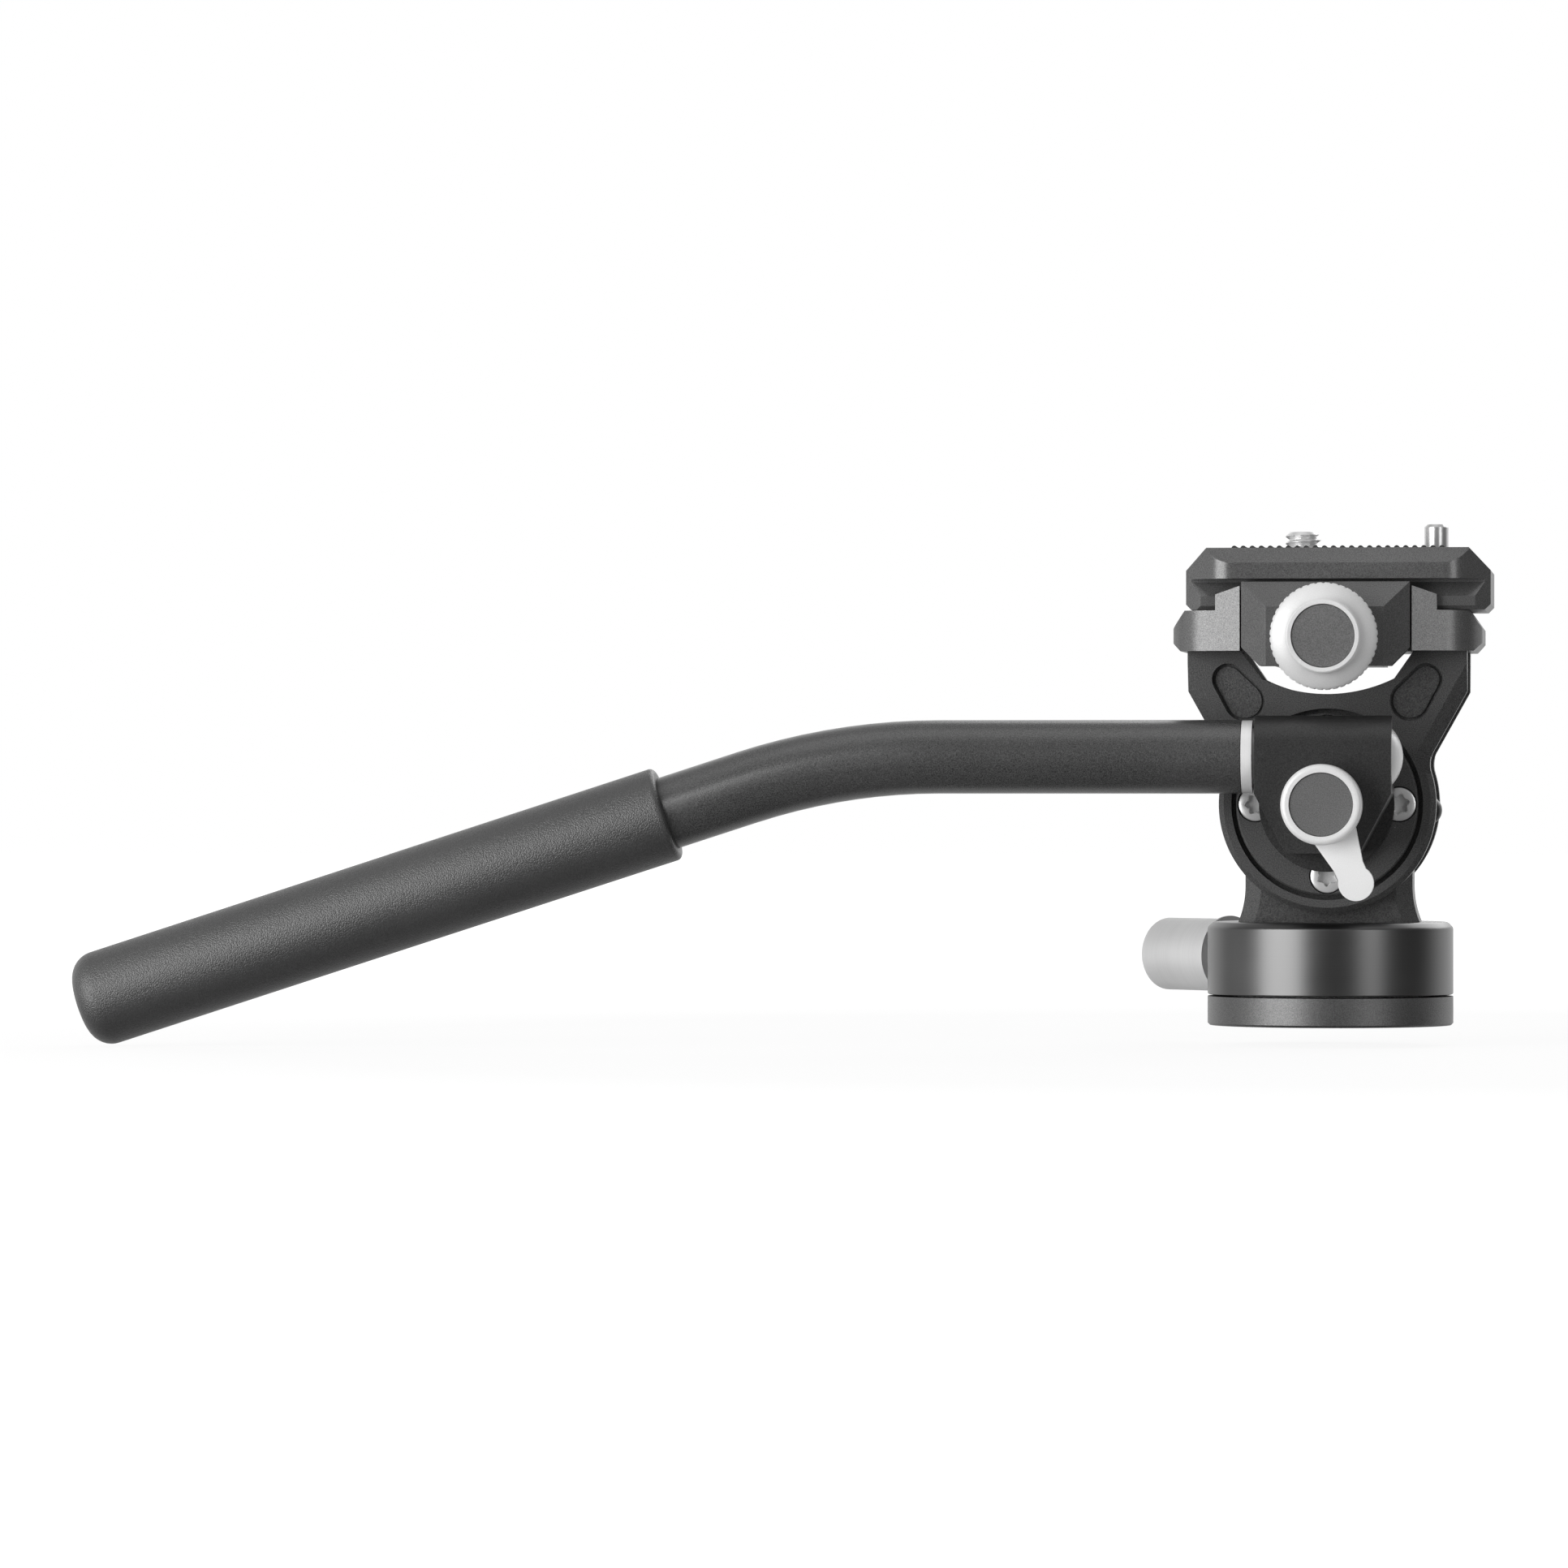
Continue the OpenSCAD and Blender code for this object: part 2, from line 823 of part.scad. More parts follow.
// Slanting cut along the tapered arm edge, on the outer face
module taper_bevel_cut() {
    length = norm(fillet_on_taper - taper_top);
    translate([taper_top[0], -cheek_out, taper_top[1]])
        rotate([0, -atan2(taper_dir[1], taper_dir[0]), 0])
            yz_slab(-2 * arm_bevel, length + arm_bevel / 2)
                polygon([[-over, -arm_bevel - over], [arm_bevel + over, over], [-over, over]]);
}

// Cheek on the handle side, without its hub cap
module cheek_body() {
    on_tilt_axis()
        difference() {
            cheek_plate();
            xz_slab(-cheek_out - over, 0)
                cheek_window();
            y_bar(cap_r + groove_w, -cheek_out - over, -cap_in);
            y_bar(axle_r + seat_fit, -cheek_out, 0);
            difference() {
                y_bar(friction_out_r + seat_fit, -cheek_in - friction_t, 0);
                y_bar(friction_in_r - seat_fit, -cheek_out, over);
            }
            xz_slab(-cheek_out - over, -cheek_out + pocket_d)
                both_ways_x()
                    teardrop(pocket_top, pocket_top_r, pocket_low, pocket_low_r);
            difference() {
                xz_slab(-cheek_out, -cheek_out + pocket_d + pocket_rim_d)
                    both_ways_x()
                        teardrop(pocket_top, pocket_top_r, pocket_low, pocket_low_r);
                xz_slab(-cheek_out - over, -cheek_in)
                    both_ways_x()
                        teardrop(
                            pocket_top, pocket_top_r - pocket_rim_w, pocket_low, pocket_low_r - pocket_rim_w
                        );
            }
            intersection() {
                turned_out(-cheek_out + rim_bevel)
                    polygon([
                        [cheek_r, 0], [cheek_r + over, 0], [cheek_r + over, rim_bevel + over],
                        [cheek_r - rim_bevel - over, rim_bevel + over]
                    ]);
                xz_slab(-cheek_out - 2 * over, -cheek_in)
                    translate([-2 * cheek_r, -3 * cheek_r + fillet_on_round[1]])
                        square([4 * cheek_r, 3 * cheek_r]);
            }
            both_ways_x()
                taper_bevel_cut();
            four_hub_places()
                y_bar(hub_screw_r + seat_fit, -cheek_out, -hub_screw_end + seat_fit);
            for (x = [-1, 1])
                translate([x * platform_screw_x, -platform_screw_y, arm_h - platform_screw_bite])
                    cylinder(r = platform_screw_r + seat_fit, h = platform_screw_bite + over);
        }
}

module four_hub_places() {
    for (a = [0:90:270])
        translate([hub_circle_r * cos(a), 0, hub_circle_r * sin(a)])
            children();
}

module cheek_near() {
    color("#232324")
        cheek_body();
}

module cheek_far() {
    color("#232324")
        mirror([0, 1, 0])
            cheek_body();
}

// Hub cap on the handle side, with a centre hole for the screw that passes it
module hub_cap_body() {
    edge = 0.3;
    on_tilt_axis()
        difference() {
            turned_out(-cap_in)
                polygon([
                    [lock_screw_r + part_gap, 0], [cap_r, 0], [cap_r, cap_t - edge],
                    [cap_r - edge, cap_t], [lock_screw_r + part_gap, cap_t]
                ]);
            four_hub_places() {
                y_bar(hub_head_r + 0.15, -cheek_out - over, -cheek_out + hub_head_h + 0.15);
                y_bar(hub_screw_r + seat_fit, -cheek_out, 0);
            }
        }
}

module hub_cap_near() {
    color("#262627")
        hub_cap_body();
}

module hub_cap_far() {
    color("#262627")
        mirror([0, 1, 0])
            hub_cap_body();
}

module hub_screws() {
    edge = 0.35;
    on_tilt_axis()
        four_hub_places() {
            turned_out(-cheek_out + hub_head_h + 0.15)
                polygon([
                    [0, 0], [hub_head_r, 0], [hub_head_r, hub_head_h - edge],
                    [hub_head_r - edge, hub_head_h], [0, hub_head_h]
                ]);
            y_bar(hub_screw_r, -cheek_out + hub_head_h, -hub_screw_end);
        }
}

module hub_screws_near() {
    color("silver")
        hub_screws();
}

module hub_screws_far() {
    color("silver")
        mirror([0, 1, 0])
            hub_screws();
}

// Tilt lock on the far side

module tilt_lock_knob() {
    color("#b9b9bb")
        on_tilt_axis()
            translate([0, cheek_out + part_gap, 0])
                rotate([0, 0, 90])
                    lock_knob_body();
}

module tilt_lock_screw() {
    color("silver")
        on_tilt_axis()
            y_bar(lock_screw_r, axle_half - axle_tap_l + over, cheek_out + part_gap + lock_knob_l / 2 - over);
}

// Platform and clamp

module platform_profile() {
    half = platform_l / 2;
    polygon(whole([
        [half - foot_chamfer, platform_z], [half, platform_z + foot_chamfer],
        [half, bed_z - end_chamfer[1]], [half - end_chamfer[0], bed_z]
    ]));
}

// The near face slants back beside the jaw and runs smoothly into the rounded ends
module platform_plan() {
    r = platform_corner_r;
    half = platform_l / 2;
    edge = platform_w / 2;
    arc_x = half - r;
    arc_y = (r + sin(flank_angle) * (arc_x - post_in)) / cos(flank_angle) - edge;
    polygon(whole([
        [post_in, -edge], [arc_x + r * sin(flank_angle), arc_y - r * cos(flank_angle)],
        [half, arc_y], [half, edge - r], [arc_x, edge]
    ]));
    for (x = [-arc_x, arc_x], y = [arc_y, edge - r])
        translate([x, y])
            circle(r);
}

// Slanted-top posts that guide the jaw's sides
module jaw_post() {
    translate([0, 0, bed_z])
        xz_slab(-platform_w / 2, -post_back)
            polygon([
                [post_in, -over], [post_in + post_w, -over], [post_in + post_w, post_h - post_slant],
                [post_in, post_h]
            ]);
}

// Hooked lip that holds the dovetail's far side
module fixed_jaw() {
    yz_slab(-fixed_jaw_l / 2, fixed_jaw_l / 2)
        polygon([
            [flange_half + hook_gap, bed_z - over], [platform_w / 2, bed_z - over],
            [platform_w / 2, jaw_top - 1], [platform_w / 2 - 1, jaw_top],
            [throat_half + hook_gap, jaw_top], [flange_half + hook_gap, jaw_top - flare_h]
        ]);
}

module platform() {
    color("#2b2b2d")
        difference() {
            intersection() {
                union() {
                    xz_slab(-platform_w / 2, platform_w / 2)
                        platform_profile();
                    both_ways_x()
                        jaw_post();
                    fixed_jaw();
                    translate([-keel_w / 2, -keel_half, platform_z - keel_h])
                        cube([keel_w, 2 * keel_half, keel_h + over]);
                }
                translate([0, 0, platform_z - keel_h - over])
                    linear_extrude(jaw_top)
                        platform_plan();
            }
            translate([-post_in, -platform_w, platform_z - over])
                cube([2 * post_in, platform_w - notch_y, 2 * platform_h]);
            translate([0, 0, clamp_z])
                y_bar(clamp_screw_r + run_fit, -platform_w, clamp_screw_end + over);
            both_ways_x()
                translate([guide_x, 0, guide_z]) {
                    y_bar(guide_r + run_fit, -platform_w, -guide_end + over);
                    y_bar(spring_pocket_r, -platform_w, -notch_y + jaw_spring_l);
                }
            four_corners(platform_screw_x, platform_screw_y) {
                z_bar(platform_screw_r + seat_fit, platform_z - over, bed_z);
                z_bar(platform_head_r + seat_fit, bed_z - platform_head_h - slide_gap, bed_z + over);
            }
        }
}

module platform_screws() {
    head_top = bed_z - slide_gap;
    color("dimgray")
        four_corners(platform_screw_x, platform_screw_y) {
            z_bar(platform_head_r, head_top - platform_head_h, head_top);
            z_bar(platform_screw_r, platform_z - platform_screw_bite + seat_fit, head_top - 1);
        }
}

module clamp_jaw() {
    half = jaw_w / 2;
    color("#29292b")
        difference() {
            intersection() {
                yz_slab(-half, half)
                    polygon([
                        [-jaw_back, jaw_bottom], [-jaw_back, bed_z - slide_gap],
                        [-flange_half - hook_gap, bed_z - slide_gap],
                        [-flange_half - hook_gap, jaw_top - flare_h],
                        [-throat_half - hook_gap, jaw_top], [-jaw_shoulder, jaw_top],
                        [-jaw_front, jaw_top - jaw_bevel], [-jaw_front, jaw_bottom]
                    ]);
                xz_slab(-jaw_front, 0)
                    polygon(whole([
                        [half - jaw_corner, jaw_bottom], [half, jaw_bottom + jaw_corner], [half, jaw_top]
                    ]));
                translate([0, 0, jaw_bottom])
                    linear_extrude(jaw_top)
                        polygon(whole([
                            [half - jaw_bevel, -jaw_front], [half, -jaw_shoulder], [half, 0]
                        ]));
            }
            translate([0, 0, clamp_z])
                y_bar(clamp_screw_r + run_fit, -jaw_front - over, 0);
            both_ways_x()
                translate([guide_x, 0, guide_z])
                    y_bar(guide_r + seat_fit, -jaw_shoulder, 0);
        }
}

module jaw_guide_pins() {
    color("silver")
        both_ways_x()
            translate([guide_x, 0, guide_z])
                y_bar(guide_r, -jaw_shoulder + seat_fit, -guide_end);
}

module jaw_springs() {
    length = jaw_spring_l + part_gap - 2 * slide_gap;
    color("silver")
        for (x = [-guide_x, guide_x])
            translate([x, -jaw_back + slide_gap, guide_z])
                rotate([-90, 0, 0])
                    spring(spring_r, spring_wire_r, length, 5);
}

module clamp_knob() {
    color("#e4e4e4")
        translate([0, 0, clamp_z])
            difference() {
                turned_out(knob_gap_y)
                    polygon([
                        [clamp_screw_r + seat_fit, 0], [clamp_knob_r - knob_edge, 0],
                        [clamp_knob_r, knob_edge], [clamp_knob_r, knob_band],
                        [clamp_knob_r - knob_edge, knob_band + knob_edge],
                        [knob_face_r, clamp_knob_l - knob_ring_h], [knob_face_r, clamp_knob_l - 0.3],
                        [knob_face_r - 0.3, clamp_knob_l], [insert_r + seat_fit, clamp_knob_l],
                        [insert_r + seat_fit, clamp_knob_l - insert_t - insert_drop],
                        [clamp_screw_r + seat_fit, clamp_knob_l - insert_t - insert_drop]
                    ]);
                for (k = [0:clamp_notches - 1])
                    rotate([0, 360 * k / clamp_notches, 0])
                        translate([clamp_knob_r + notch_r - notch_d, 0, 0])
                            y_bar(notch_r, knob_gap_y - knob_band - over, knob_gap_y + over);
            }
}

// Plain round insert set into a knob's face
module knob_insert(front) {
    edge = 0.2;
    turned_out(front + insert_t + insert_drop)
        polygon([
            [0, 0], [insert_r, 0], [insert_r, insert_t - edge], [insert_r - edge, insert_t], [0, insert_t]
        ]);
}

module clamp_knob_insert() {
    color("#4a4a4c")
        translate([0, 0, clamp_z])
            knob_insert(knob_gap_y - clamp_knob_l);
}

module clamp_screw() {
    color("silver")
        translate([0, 0, clamp_z])
            y_bar(
                clamp_screw_r, knob_gap_y - clamp_knob_l + insert_t + insert_drop + seat_fit, clamp_screw_end
            );
}

// Quick plate

module plate_profile() {
    half = plate_l / 2;
    polygon(whole([
        [half - plate_foot_bevel, plate_z], [half, plate_z + plate_foot_bevel],
        [half, plate_top - plate_end_bevel[1]], [half - plate_end_bevel[0], plate_top]
    ]));
}

// Section across the plate: bevelled top, overhang, throat, flare and flange lip
module plate_section() {
    half = plate_w / 2;
    flare_top = plate_z + lip_h + flare_h;
    polygon(whole([
        [flange_half - lip_chamfer, plate_z], [flange_half, plate_z + lip_chamfer],
        [flange_half, plate_z + lip_h], [throat_half, flare_top],
        [throat_half, flare_top + throat_h], [half, flare_top + throat_h],
        [half, plate_top - plate_bevel], [half - plate_bevel, plate_top]
    ]));
}

// Plan of the plate: slanted corners, rounded where they meet the long sides
module plate_plan() {
    half_l = plate_l / 2;
    half_w = plate_w / 2;
    turn = plate_corner_r / sqrt(2);
    arc_x = half_l - plate_corner_cut - turn;
    arc_y = half_w - plate_corner_r;
    slant_y = arc_y + turn;
    square([2 * arc_x, plate_w], center = true);
    polygon([
        for (q = [[1, 1], [-1, 1], [-1, -1], [1, -1]])
            let (low = [q[0] * half_l, q[1] * (slant_y - plate_corner_cut)],
                high = [q[0] * (half_l - plate_corner_cut), q[1] * slant_y])
            each (q[0] * q[1] > 0 ? [low, high] : [high, low])
    ]);
    for (x = [-1, 1], y = [-1, 1])
        translate([x * arc_x, y * arc_y])
            circle(plate_corner_r);
}

module on_plate() {
    translate([plate_x, 0, 0])
        children();
}

module quick_plate() {
    half_w = plate_w / 2;
    color("#39393b")
        on_plate()
            difference() {
                intersection() {
                    xz_slab(-half_w, half_w)
                        plate_profile();
                    yz_slab(-plate_l / 2, plate_l / 2)
                        plate_section();
                    translate([0, 0, plate_z])
                        linear_extrude(plate_h)
                            plate_plan();
                }
                translate([-pad_l / 2, -pad_w / 2, plate_top - pad_t])
                    cube([pad_l, pad_w, pad_t + over]);
                translate([camera_screw_x, 0, 0]) {
                    z_bar(screw_shoulder_r + run_fit, plate_z - over, plate_top + over);
                    z_bar(
                        screw_head_r + part_gap, plate_z - over, plate_z + screw_head_h + part_gap + slide_gap
                    );
                }
                translate([pin_x, 0, 0]) {
                    z_bar(pin_guide_r + run_fit, plate_z, plate_top + over);
                    z_bar(pin_pocket_r, plate_z - over, plate_top - pin_roof);
                }
            }
}

module plate_pad() {
    first = -(ridge_count - 1) / 2 * ridge_pitch;
    color("#2f2f31")
        on_plate()
            difference() {
                union() {
                    translate([-pad_l / 2 + seat_fit, -pad_w / 2 + seat_fit, plate_top - pad_t])
                        cube([pad_l - 2 * seat_fit, pad_w - 2 * seat_fit, pad_t]);
                    for (k = [0:ridge_count - 1])
                        translate([first + k * ridge_pitch, 0, plate_top - 0.05])
                            y_bar(ridge_r, -pad_w / 2 + seat_fit, pad_w / 2 - seat_fit);
                }
                translate([camera_screw_x, 0, 0])
                    z_bar(screw_shoulder_r + part_gap, plate_z, plate_top + 2 * over);
                translate([pin_x, 0, 0])
                    z_bar(pin_guide_r + part_gap, plate_z, plate_top + 2 * over);
            }
}

module camera_screw() {
    tip = 0.5;
    color("silver")
        on_plate()
            translate([camera_screw_x, 0, 0])
                difference() {
                    rotate_extrude()
                        polygon([
                            [0, plate_z + 2 * slide_gap], [screw_head_r, plate_z + 2 * slide_gap],
                            [screw_head_r, plate_z + 2 * slide_gap + screw_head_h],
                            [screw_shoulder_r, plate_z + 2 * slide_gap + screw_head_h],
                            [screw_shoulder_r, plate_top - slide_gap],
                            [camera_screw_r, plate_top - slide_gap],
                            [camera_screw_r, plate_top + camera_screw_up - tip],
                            [camera_screw_r - tip, plate_top + camera_screw_up],
                            [0, plate_top + camera_screw_up]
                        ]);
                    translate([-screw_head_r - over, -0.8, plate_z])
                        cube([2 * screw_head_r + 2 * over, 1.6, 1.4]);
                }
}

module video_pin() {
    tip = 0.5;
    color("silver")
        on_plate()
            translate([pin_x, 0, 0])
                rotate_extrude()
                    polygon([
                        [0, pin_flange_top - pin_flange_h], [pin_flange_r, pin_flange_top - pin_flange_h],
                        [pin_flange_r, pin_flange_top], [pin_guide_r, pin_flange_top],
                        [pin_guide_r, plate_top - slide_gap], [pin_r, plate_top - slide_gap],
                        [pin_r, plate_top + pin_up - tip], [pin_r - tip, plate_top + pin_up],
                        [0, plate_top + pin_up]
                    ]);
}

module pin_spring() {
    color("silver")
        on_plate()
            translate([pin_x, 0, pin_spring_z])
                spring(pin_spring_r, spring_wire_r, pin_spring_top - pin_spring_z, 5);
}

module pin_plug() {
    color("dimgray")
        on_plate()
            translate([pin_x, 0, 0])
                z_bar(pin_pocket_r - seat_fit, plate_z + 2 * slide_gap, plate_z + 2 * slide_gap + pin_plug_t);
}

// Handle

module handle_block() {
    low = tilt_z - block_drop;
    waist = tilt_z + block_waist;
    top = tube_z + block_r;
    foot_back = foot_face - foot_t;
    color("#222223")
        difference() {
            union() {
                intersection() {
                    yz_slab(-block_half, block_half) {
                        translate([tube_y, tube_z])
                            circle(block_r);
                        polygon([
                            [block_front, tube_z], [block_front, low], [foot_back + seat_fit, low],
                            [foot_back + seat_fit, tilt_z + foot_r - 0.6], [tube_y, top]
                        ]);
                    }
                    xz_slab(block_front - over, foot_face)
                        polygon(whole([
                            [block_half, top + over], [block_half, waist], [block_tip_w / 2, low]
                        ]));
                }
                on_tilt_axis()
                    y_bar(foot_r, foot_back, foot_face);
            }
            on_tilt_axis()
                y_bar(lock_screw_r + run_fit, block_front - over, 0);
            on_tube_axis()
                x_bar(tube_in, -block_half - over, block_half + over);
        }
}

// Shaft through the block, domed at the front, with a collar that the tube stops at
module handle_spigot() {
    shaft_r = tube_in - seat_fit;
    back = -tube_start - spigot_in_tube;
    dome_mid = block_half + dome_up - dome_r;
    color("#d8d8d8")
        on_tube_axis()
            rotate([0, 90, 0])
                rotate_extrude() {
                    intersection() {
                        translate([0, back])
                            square([shaft_r, block_half + dome_up + over - back]);
                        union() {
                            translate([0, dome_mid])
                                circle(dome_r);
                            translate([-over, back - over])
                                square([dome_r + over, dome_mid - back + over]);
                        }
                    }
                    translate([shaft_r / 2, -block_half - collar_gap - collar_l])
                        square([collar_r - shaft_r / 2, collar_l]);
                }
}

// Frame at the bend: local -X runs down along the grip
module past_bend() {
    translate([-bend_x, tube_y, tube_z])
        rotate([0, -bend_angle, 0])
            children();
}

module tube_ring() {
    difference() {
        circle(tube_r);
        circle(tube_in);
    }
}

module handle_tube() {
    tail = grip_start + grip_l - grip_end_wall;
    straight_end = bend_x - bend_back;
    color("#1f1f20") {
        on_tube_axis()
            difference() {
                x_bar(tube_r, -straight_end, -tube_start);
                x_bar(tube_in, -straight_end - over, -tube_start + over);
            }
        translate([-straight_end, tube_y, tube_z - bend_r])
            rotate([90, 0, 0])
                rotate([0, 0, 90])
                    rotate_extrude(angle = bend_angle)
                        translate([bend_r, 0])
                            tube_ring();
        past_bend()
            difference() {
                x_bar(tube_r - seat_fit / 2, -tail, -bend_back + bend_lap);
                x_bar(tube_in + seat_fit / 2, -tail - over, -bend_back + over);
            }
    }
}

// Rubber sleeve with a rounded closed end and a soft lip at the open one
module handle_grip() {
    end = grip_start + grip_l;
    inner = tube_r + seat_fit;
    flat_r = grip_r - grip_round;
    color("#1c1c1d")
        past_bend()
            rotate([0, -90, 0])
                rotate_extrude()
                    difference() {
                        union() {
                            translate([0, grip_start + grip_lip])
                                square([grip_r, grip_l - grip_round - grip_lip]);
                            translate([0, grip_start])
                                square([grip_r - grip_lip, grip_lip * 2]);
                            translate([grip_r - grip_lip, grip_start + grip_lip])
                                circle(grip_lip, $fn = 32);
                            translate([0, end - grip_round - over])
                                square([flat_r, grip_round + over]);
                            translate([flat_r, end - grip_round])
                                circle(grip_round);
                        }
                        translate([-grip_r - over, grip_start - over])
                            square([grip_r + over, grip_l + 3 * over]);
                        translate([0, grip_start - over])
                            square([inner, grip_l - grip_end_wall + seat_fit + over]);
                    }
}

// Handle lever

module lever_arm_outline() {
    rotate(lever_angle) {
        translate([0, -lever_reach])
            circle(lever_tip_r);
        polygon([
            [-lever_root_w / 2, -lever_r / 2], [lever_root_w / 2, -lever_r / 2],
            [lever_root_w / 2, -lever_r * 0.86], [lever_waist_w / 2, -lever_reach + lever_tip_r],
            [lever_waist_w / 2, -lever_reach], [-lever_waist_w / 2, -lever_reach],
            [-lever_waist_w / 2, -lever_reach + lever_tip_r], [-lever_root_w / 2, -lever_r * 0.86]
        ]);
    }
}

module handle_lever() {
    pocket = lever_l - insert_t - insert_drop;
    bore = lever_screw_r + seat_fit;
    color("#d6d6d6")
        on_tilt_axis() {
            turned_out(lever_back)
                difference() {
                    union() {
                        square([lever_r, lever_l - lever_round]);
                        square([lever_r - lever_round, lever_l]);
                        translate([lever_r - lever_round, lever_l - lever_round])
                            circle(lever_round, $fn = 32);
                    }
                    translate([-lever_r, -over])
                        square([lever_r + bore, lever_l + 2 * over]);
                    translate([0, pocket])
                        square([insert_r + seat_fit, lever_l]);
                }
            difference() {
                xz_slab(lever_back - lever_arm_t, lever_back)
                    lever_arm_outline();
                y_bar(lever_r - lever_round, lever_front, 0);
            }
        }
}

module lever_insert() {
    color("#4a4a4c")
        on_tilt_axis()
            knob_insert(lever_front);
}

module lever_screw() {
    color("silver")
        on_tilt_axis()
            y_bar(lever_screw_r, lever_front + insert_t + insert_drop + seat_fit, lever_screw_end);
}

base_plate();
tripod_bushing();
pan_retaining_nut();
pan_housing();
pan_bush();
pan_thrust_washer();
pan_drag_washer();
pan_lock_pad();
pan_lock_knob();
pan_lock_screw();
stand();
stand_screws();
tilt_bush_near();
tilt_bush_far();
grease_seals();
grease_plug();
tilt_axle();
damper_rotor();
friction_washers();
cheek_near();
cheek_far();
hub_cap_near();
hub_cap_far();
hub_screws_near();
hub_screws_far();
tilt_lock_knob();
tilt_lock_screw();
platform();
platform_screws();
clamp_jaw();
jaw_guide_pins();
jaw_springs();
clamp_knob();
clamp_knob_insert();
clamp_screw();
quick_plate();
plate_pad();
camera_screw();
video_pin();
pin_spring();
pin_plug();
handle_block();
handle_spigot();
handle_tube();
handle_grip();
handle_lever();
lever_insert();
lever_screw();
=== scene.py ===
# %% [markdown]
# # A small fluid video head, dressed over its solids
# The head is milled and turned aluminium on a bent tube handle with a rubber grip. Its solids
# come from a imported frame with every joint in place, so their shapes are not modelled again.
# This lesson gives each solid its finish, swaps the few pieces that need a finer shape, and
# lights the whole as a studio would. The box of the solids is taken first, and the floor is laid
# under it. Nothing added later may make the object bigger.

# %% Load the fixed frame
import json
import math

import bmesh
import bpy
from mathutils import Matrix, Vector


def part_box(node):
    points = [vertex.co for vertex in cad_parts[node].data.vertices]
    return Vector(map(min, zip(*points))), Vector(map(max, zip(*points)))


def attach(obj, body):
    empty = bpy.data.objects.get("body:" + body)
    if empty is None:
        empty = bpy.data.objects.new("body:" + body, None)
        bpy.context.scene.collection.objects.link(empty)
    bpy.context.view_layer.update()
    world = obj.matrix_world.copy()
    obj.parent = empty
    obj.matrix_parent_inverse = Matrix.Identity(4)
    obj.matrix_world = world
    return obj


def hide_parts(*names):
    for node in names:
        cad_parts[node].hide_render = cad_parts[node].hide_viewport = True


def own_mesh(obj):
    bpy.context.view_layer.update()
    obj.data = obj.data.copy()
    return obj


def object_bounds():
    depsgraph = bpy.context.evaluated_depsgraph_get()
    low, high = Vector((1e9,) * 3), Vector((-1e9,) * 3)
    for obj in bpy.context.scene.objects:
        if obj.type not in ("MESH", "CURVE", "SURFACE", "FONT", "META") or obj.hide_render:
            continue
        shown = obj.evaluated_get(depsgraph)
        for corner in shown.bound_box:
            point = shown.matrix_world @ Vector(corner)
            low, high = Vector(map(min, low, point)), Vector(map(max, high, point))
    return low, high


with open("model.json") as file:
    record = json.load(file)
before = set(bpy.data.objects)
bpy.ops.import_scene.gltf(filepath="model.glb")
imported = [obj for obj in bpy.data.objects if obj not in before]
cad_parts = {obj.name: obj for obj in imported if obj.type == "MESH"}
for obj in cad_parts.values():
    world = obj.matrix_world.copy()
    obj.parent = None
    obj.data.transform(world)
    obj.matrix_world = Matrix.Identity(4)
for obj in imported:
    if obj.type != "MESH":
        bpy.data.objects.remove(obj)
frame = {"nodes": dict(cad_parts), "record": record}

solid_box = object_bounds()
print("box of the solids, mm:", [[round(v * 1000, 2) for v in corner] for corner in solid_box])

# %% [markdown]
# ## The camera
# The picture is a level side view from about a metre and a half, with a long lens, so the
# rims show hardly any of their depth. The camera could be framed by eye, but its place was
# worked out from features of known size at two depths, so the numbers are simply set. A
# little of the head's front end shows, which puts the camera forward of the picture's middle.

# %% Place the camera
EYE = Vector((0.0582, -1.492, 0.0432))
LOOKS_AT = Vector((-0.0986, 0.0, 0.0432))
SENSOR_MM = 36.0
LENS_MM = 190.6
NEAREST = 0.01

side_camera = bpy.data.objects.new("side_camera", bpy.data.cameras.new("side_camera"))
side_camera.data.sensor_width = SENSOR_MM
side_camera.data.lens = LENS_MM
side_camera.data.clip_start = NEAREST
side_camera.location = EYE
side_camera.rotation_euler = (LOOKS_AT - EYE).to_track_quat("-Z", "Y").to_euler()
bpy.context.collection.objects.link(side_camera)
bpy.context.scene.camera = side_camera
bpy.context.scene.view_settings.view_transform = "Standard"
print("camera to head, mm:", round((LOOKS_AT - EYE).length * 1000))

# %% [markdown]
# ## White surroundings
# The ground of the picture is plain white. Both the walls that shine in the metal and the white
# behind the head are made in the world's own nodes, with arithmetic on the direction of a ray.
# Such trees grow long when every node is written out, so three small helpers come first.

# %% Helpers for small node trees
def ends(tree, node, terms):
    """Sets or links the inputs of a node, in order, from numbers or sockets."""
    for slot, term in enumerate(terms):
        if isinstance(term, bpy.types.NodeSocket):
            tree.links.new(term, node.inputs[slot])
        else:
            node.inputs[slot].default_value = term


def sums(tree, operation, first, second=0.0):
    """One step of arithmetic on two sockets or numbers."""
    node = tree.nodes.new("ShaderNodeMath")
    node.operation = operation
    ends(tree, node, (first, second))
    return node.outputs[0]


def remap(tree, value, low, high, to_low, to_high):
    """Stretches a value from one range to another; every end is a number or a socket."""
    node = tree.nodes.new("ShaderNodeMapRange")
    ends(tree, node, (value, low, high, to_low, to_high))
    return node.outputs["Result"]


print("helpers:", [helper.__name__ for helper in (ends, sums, remap)])

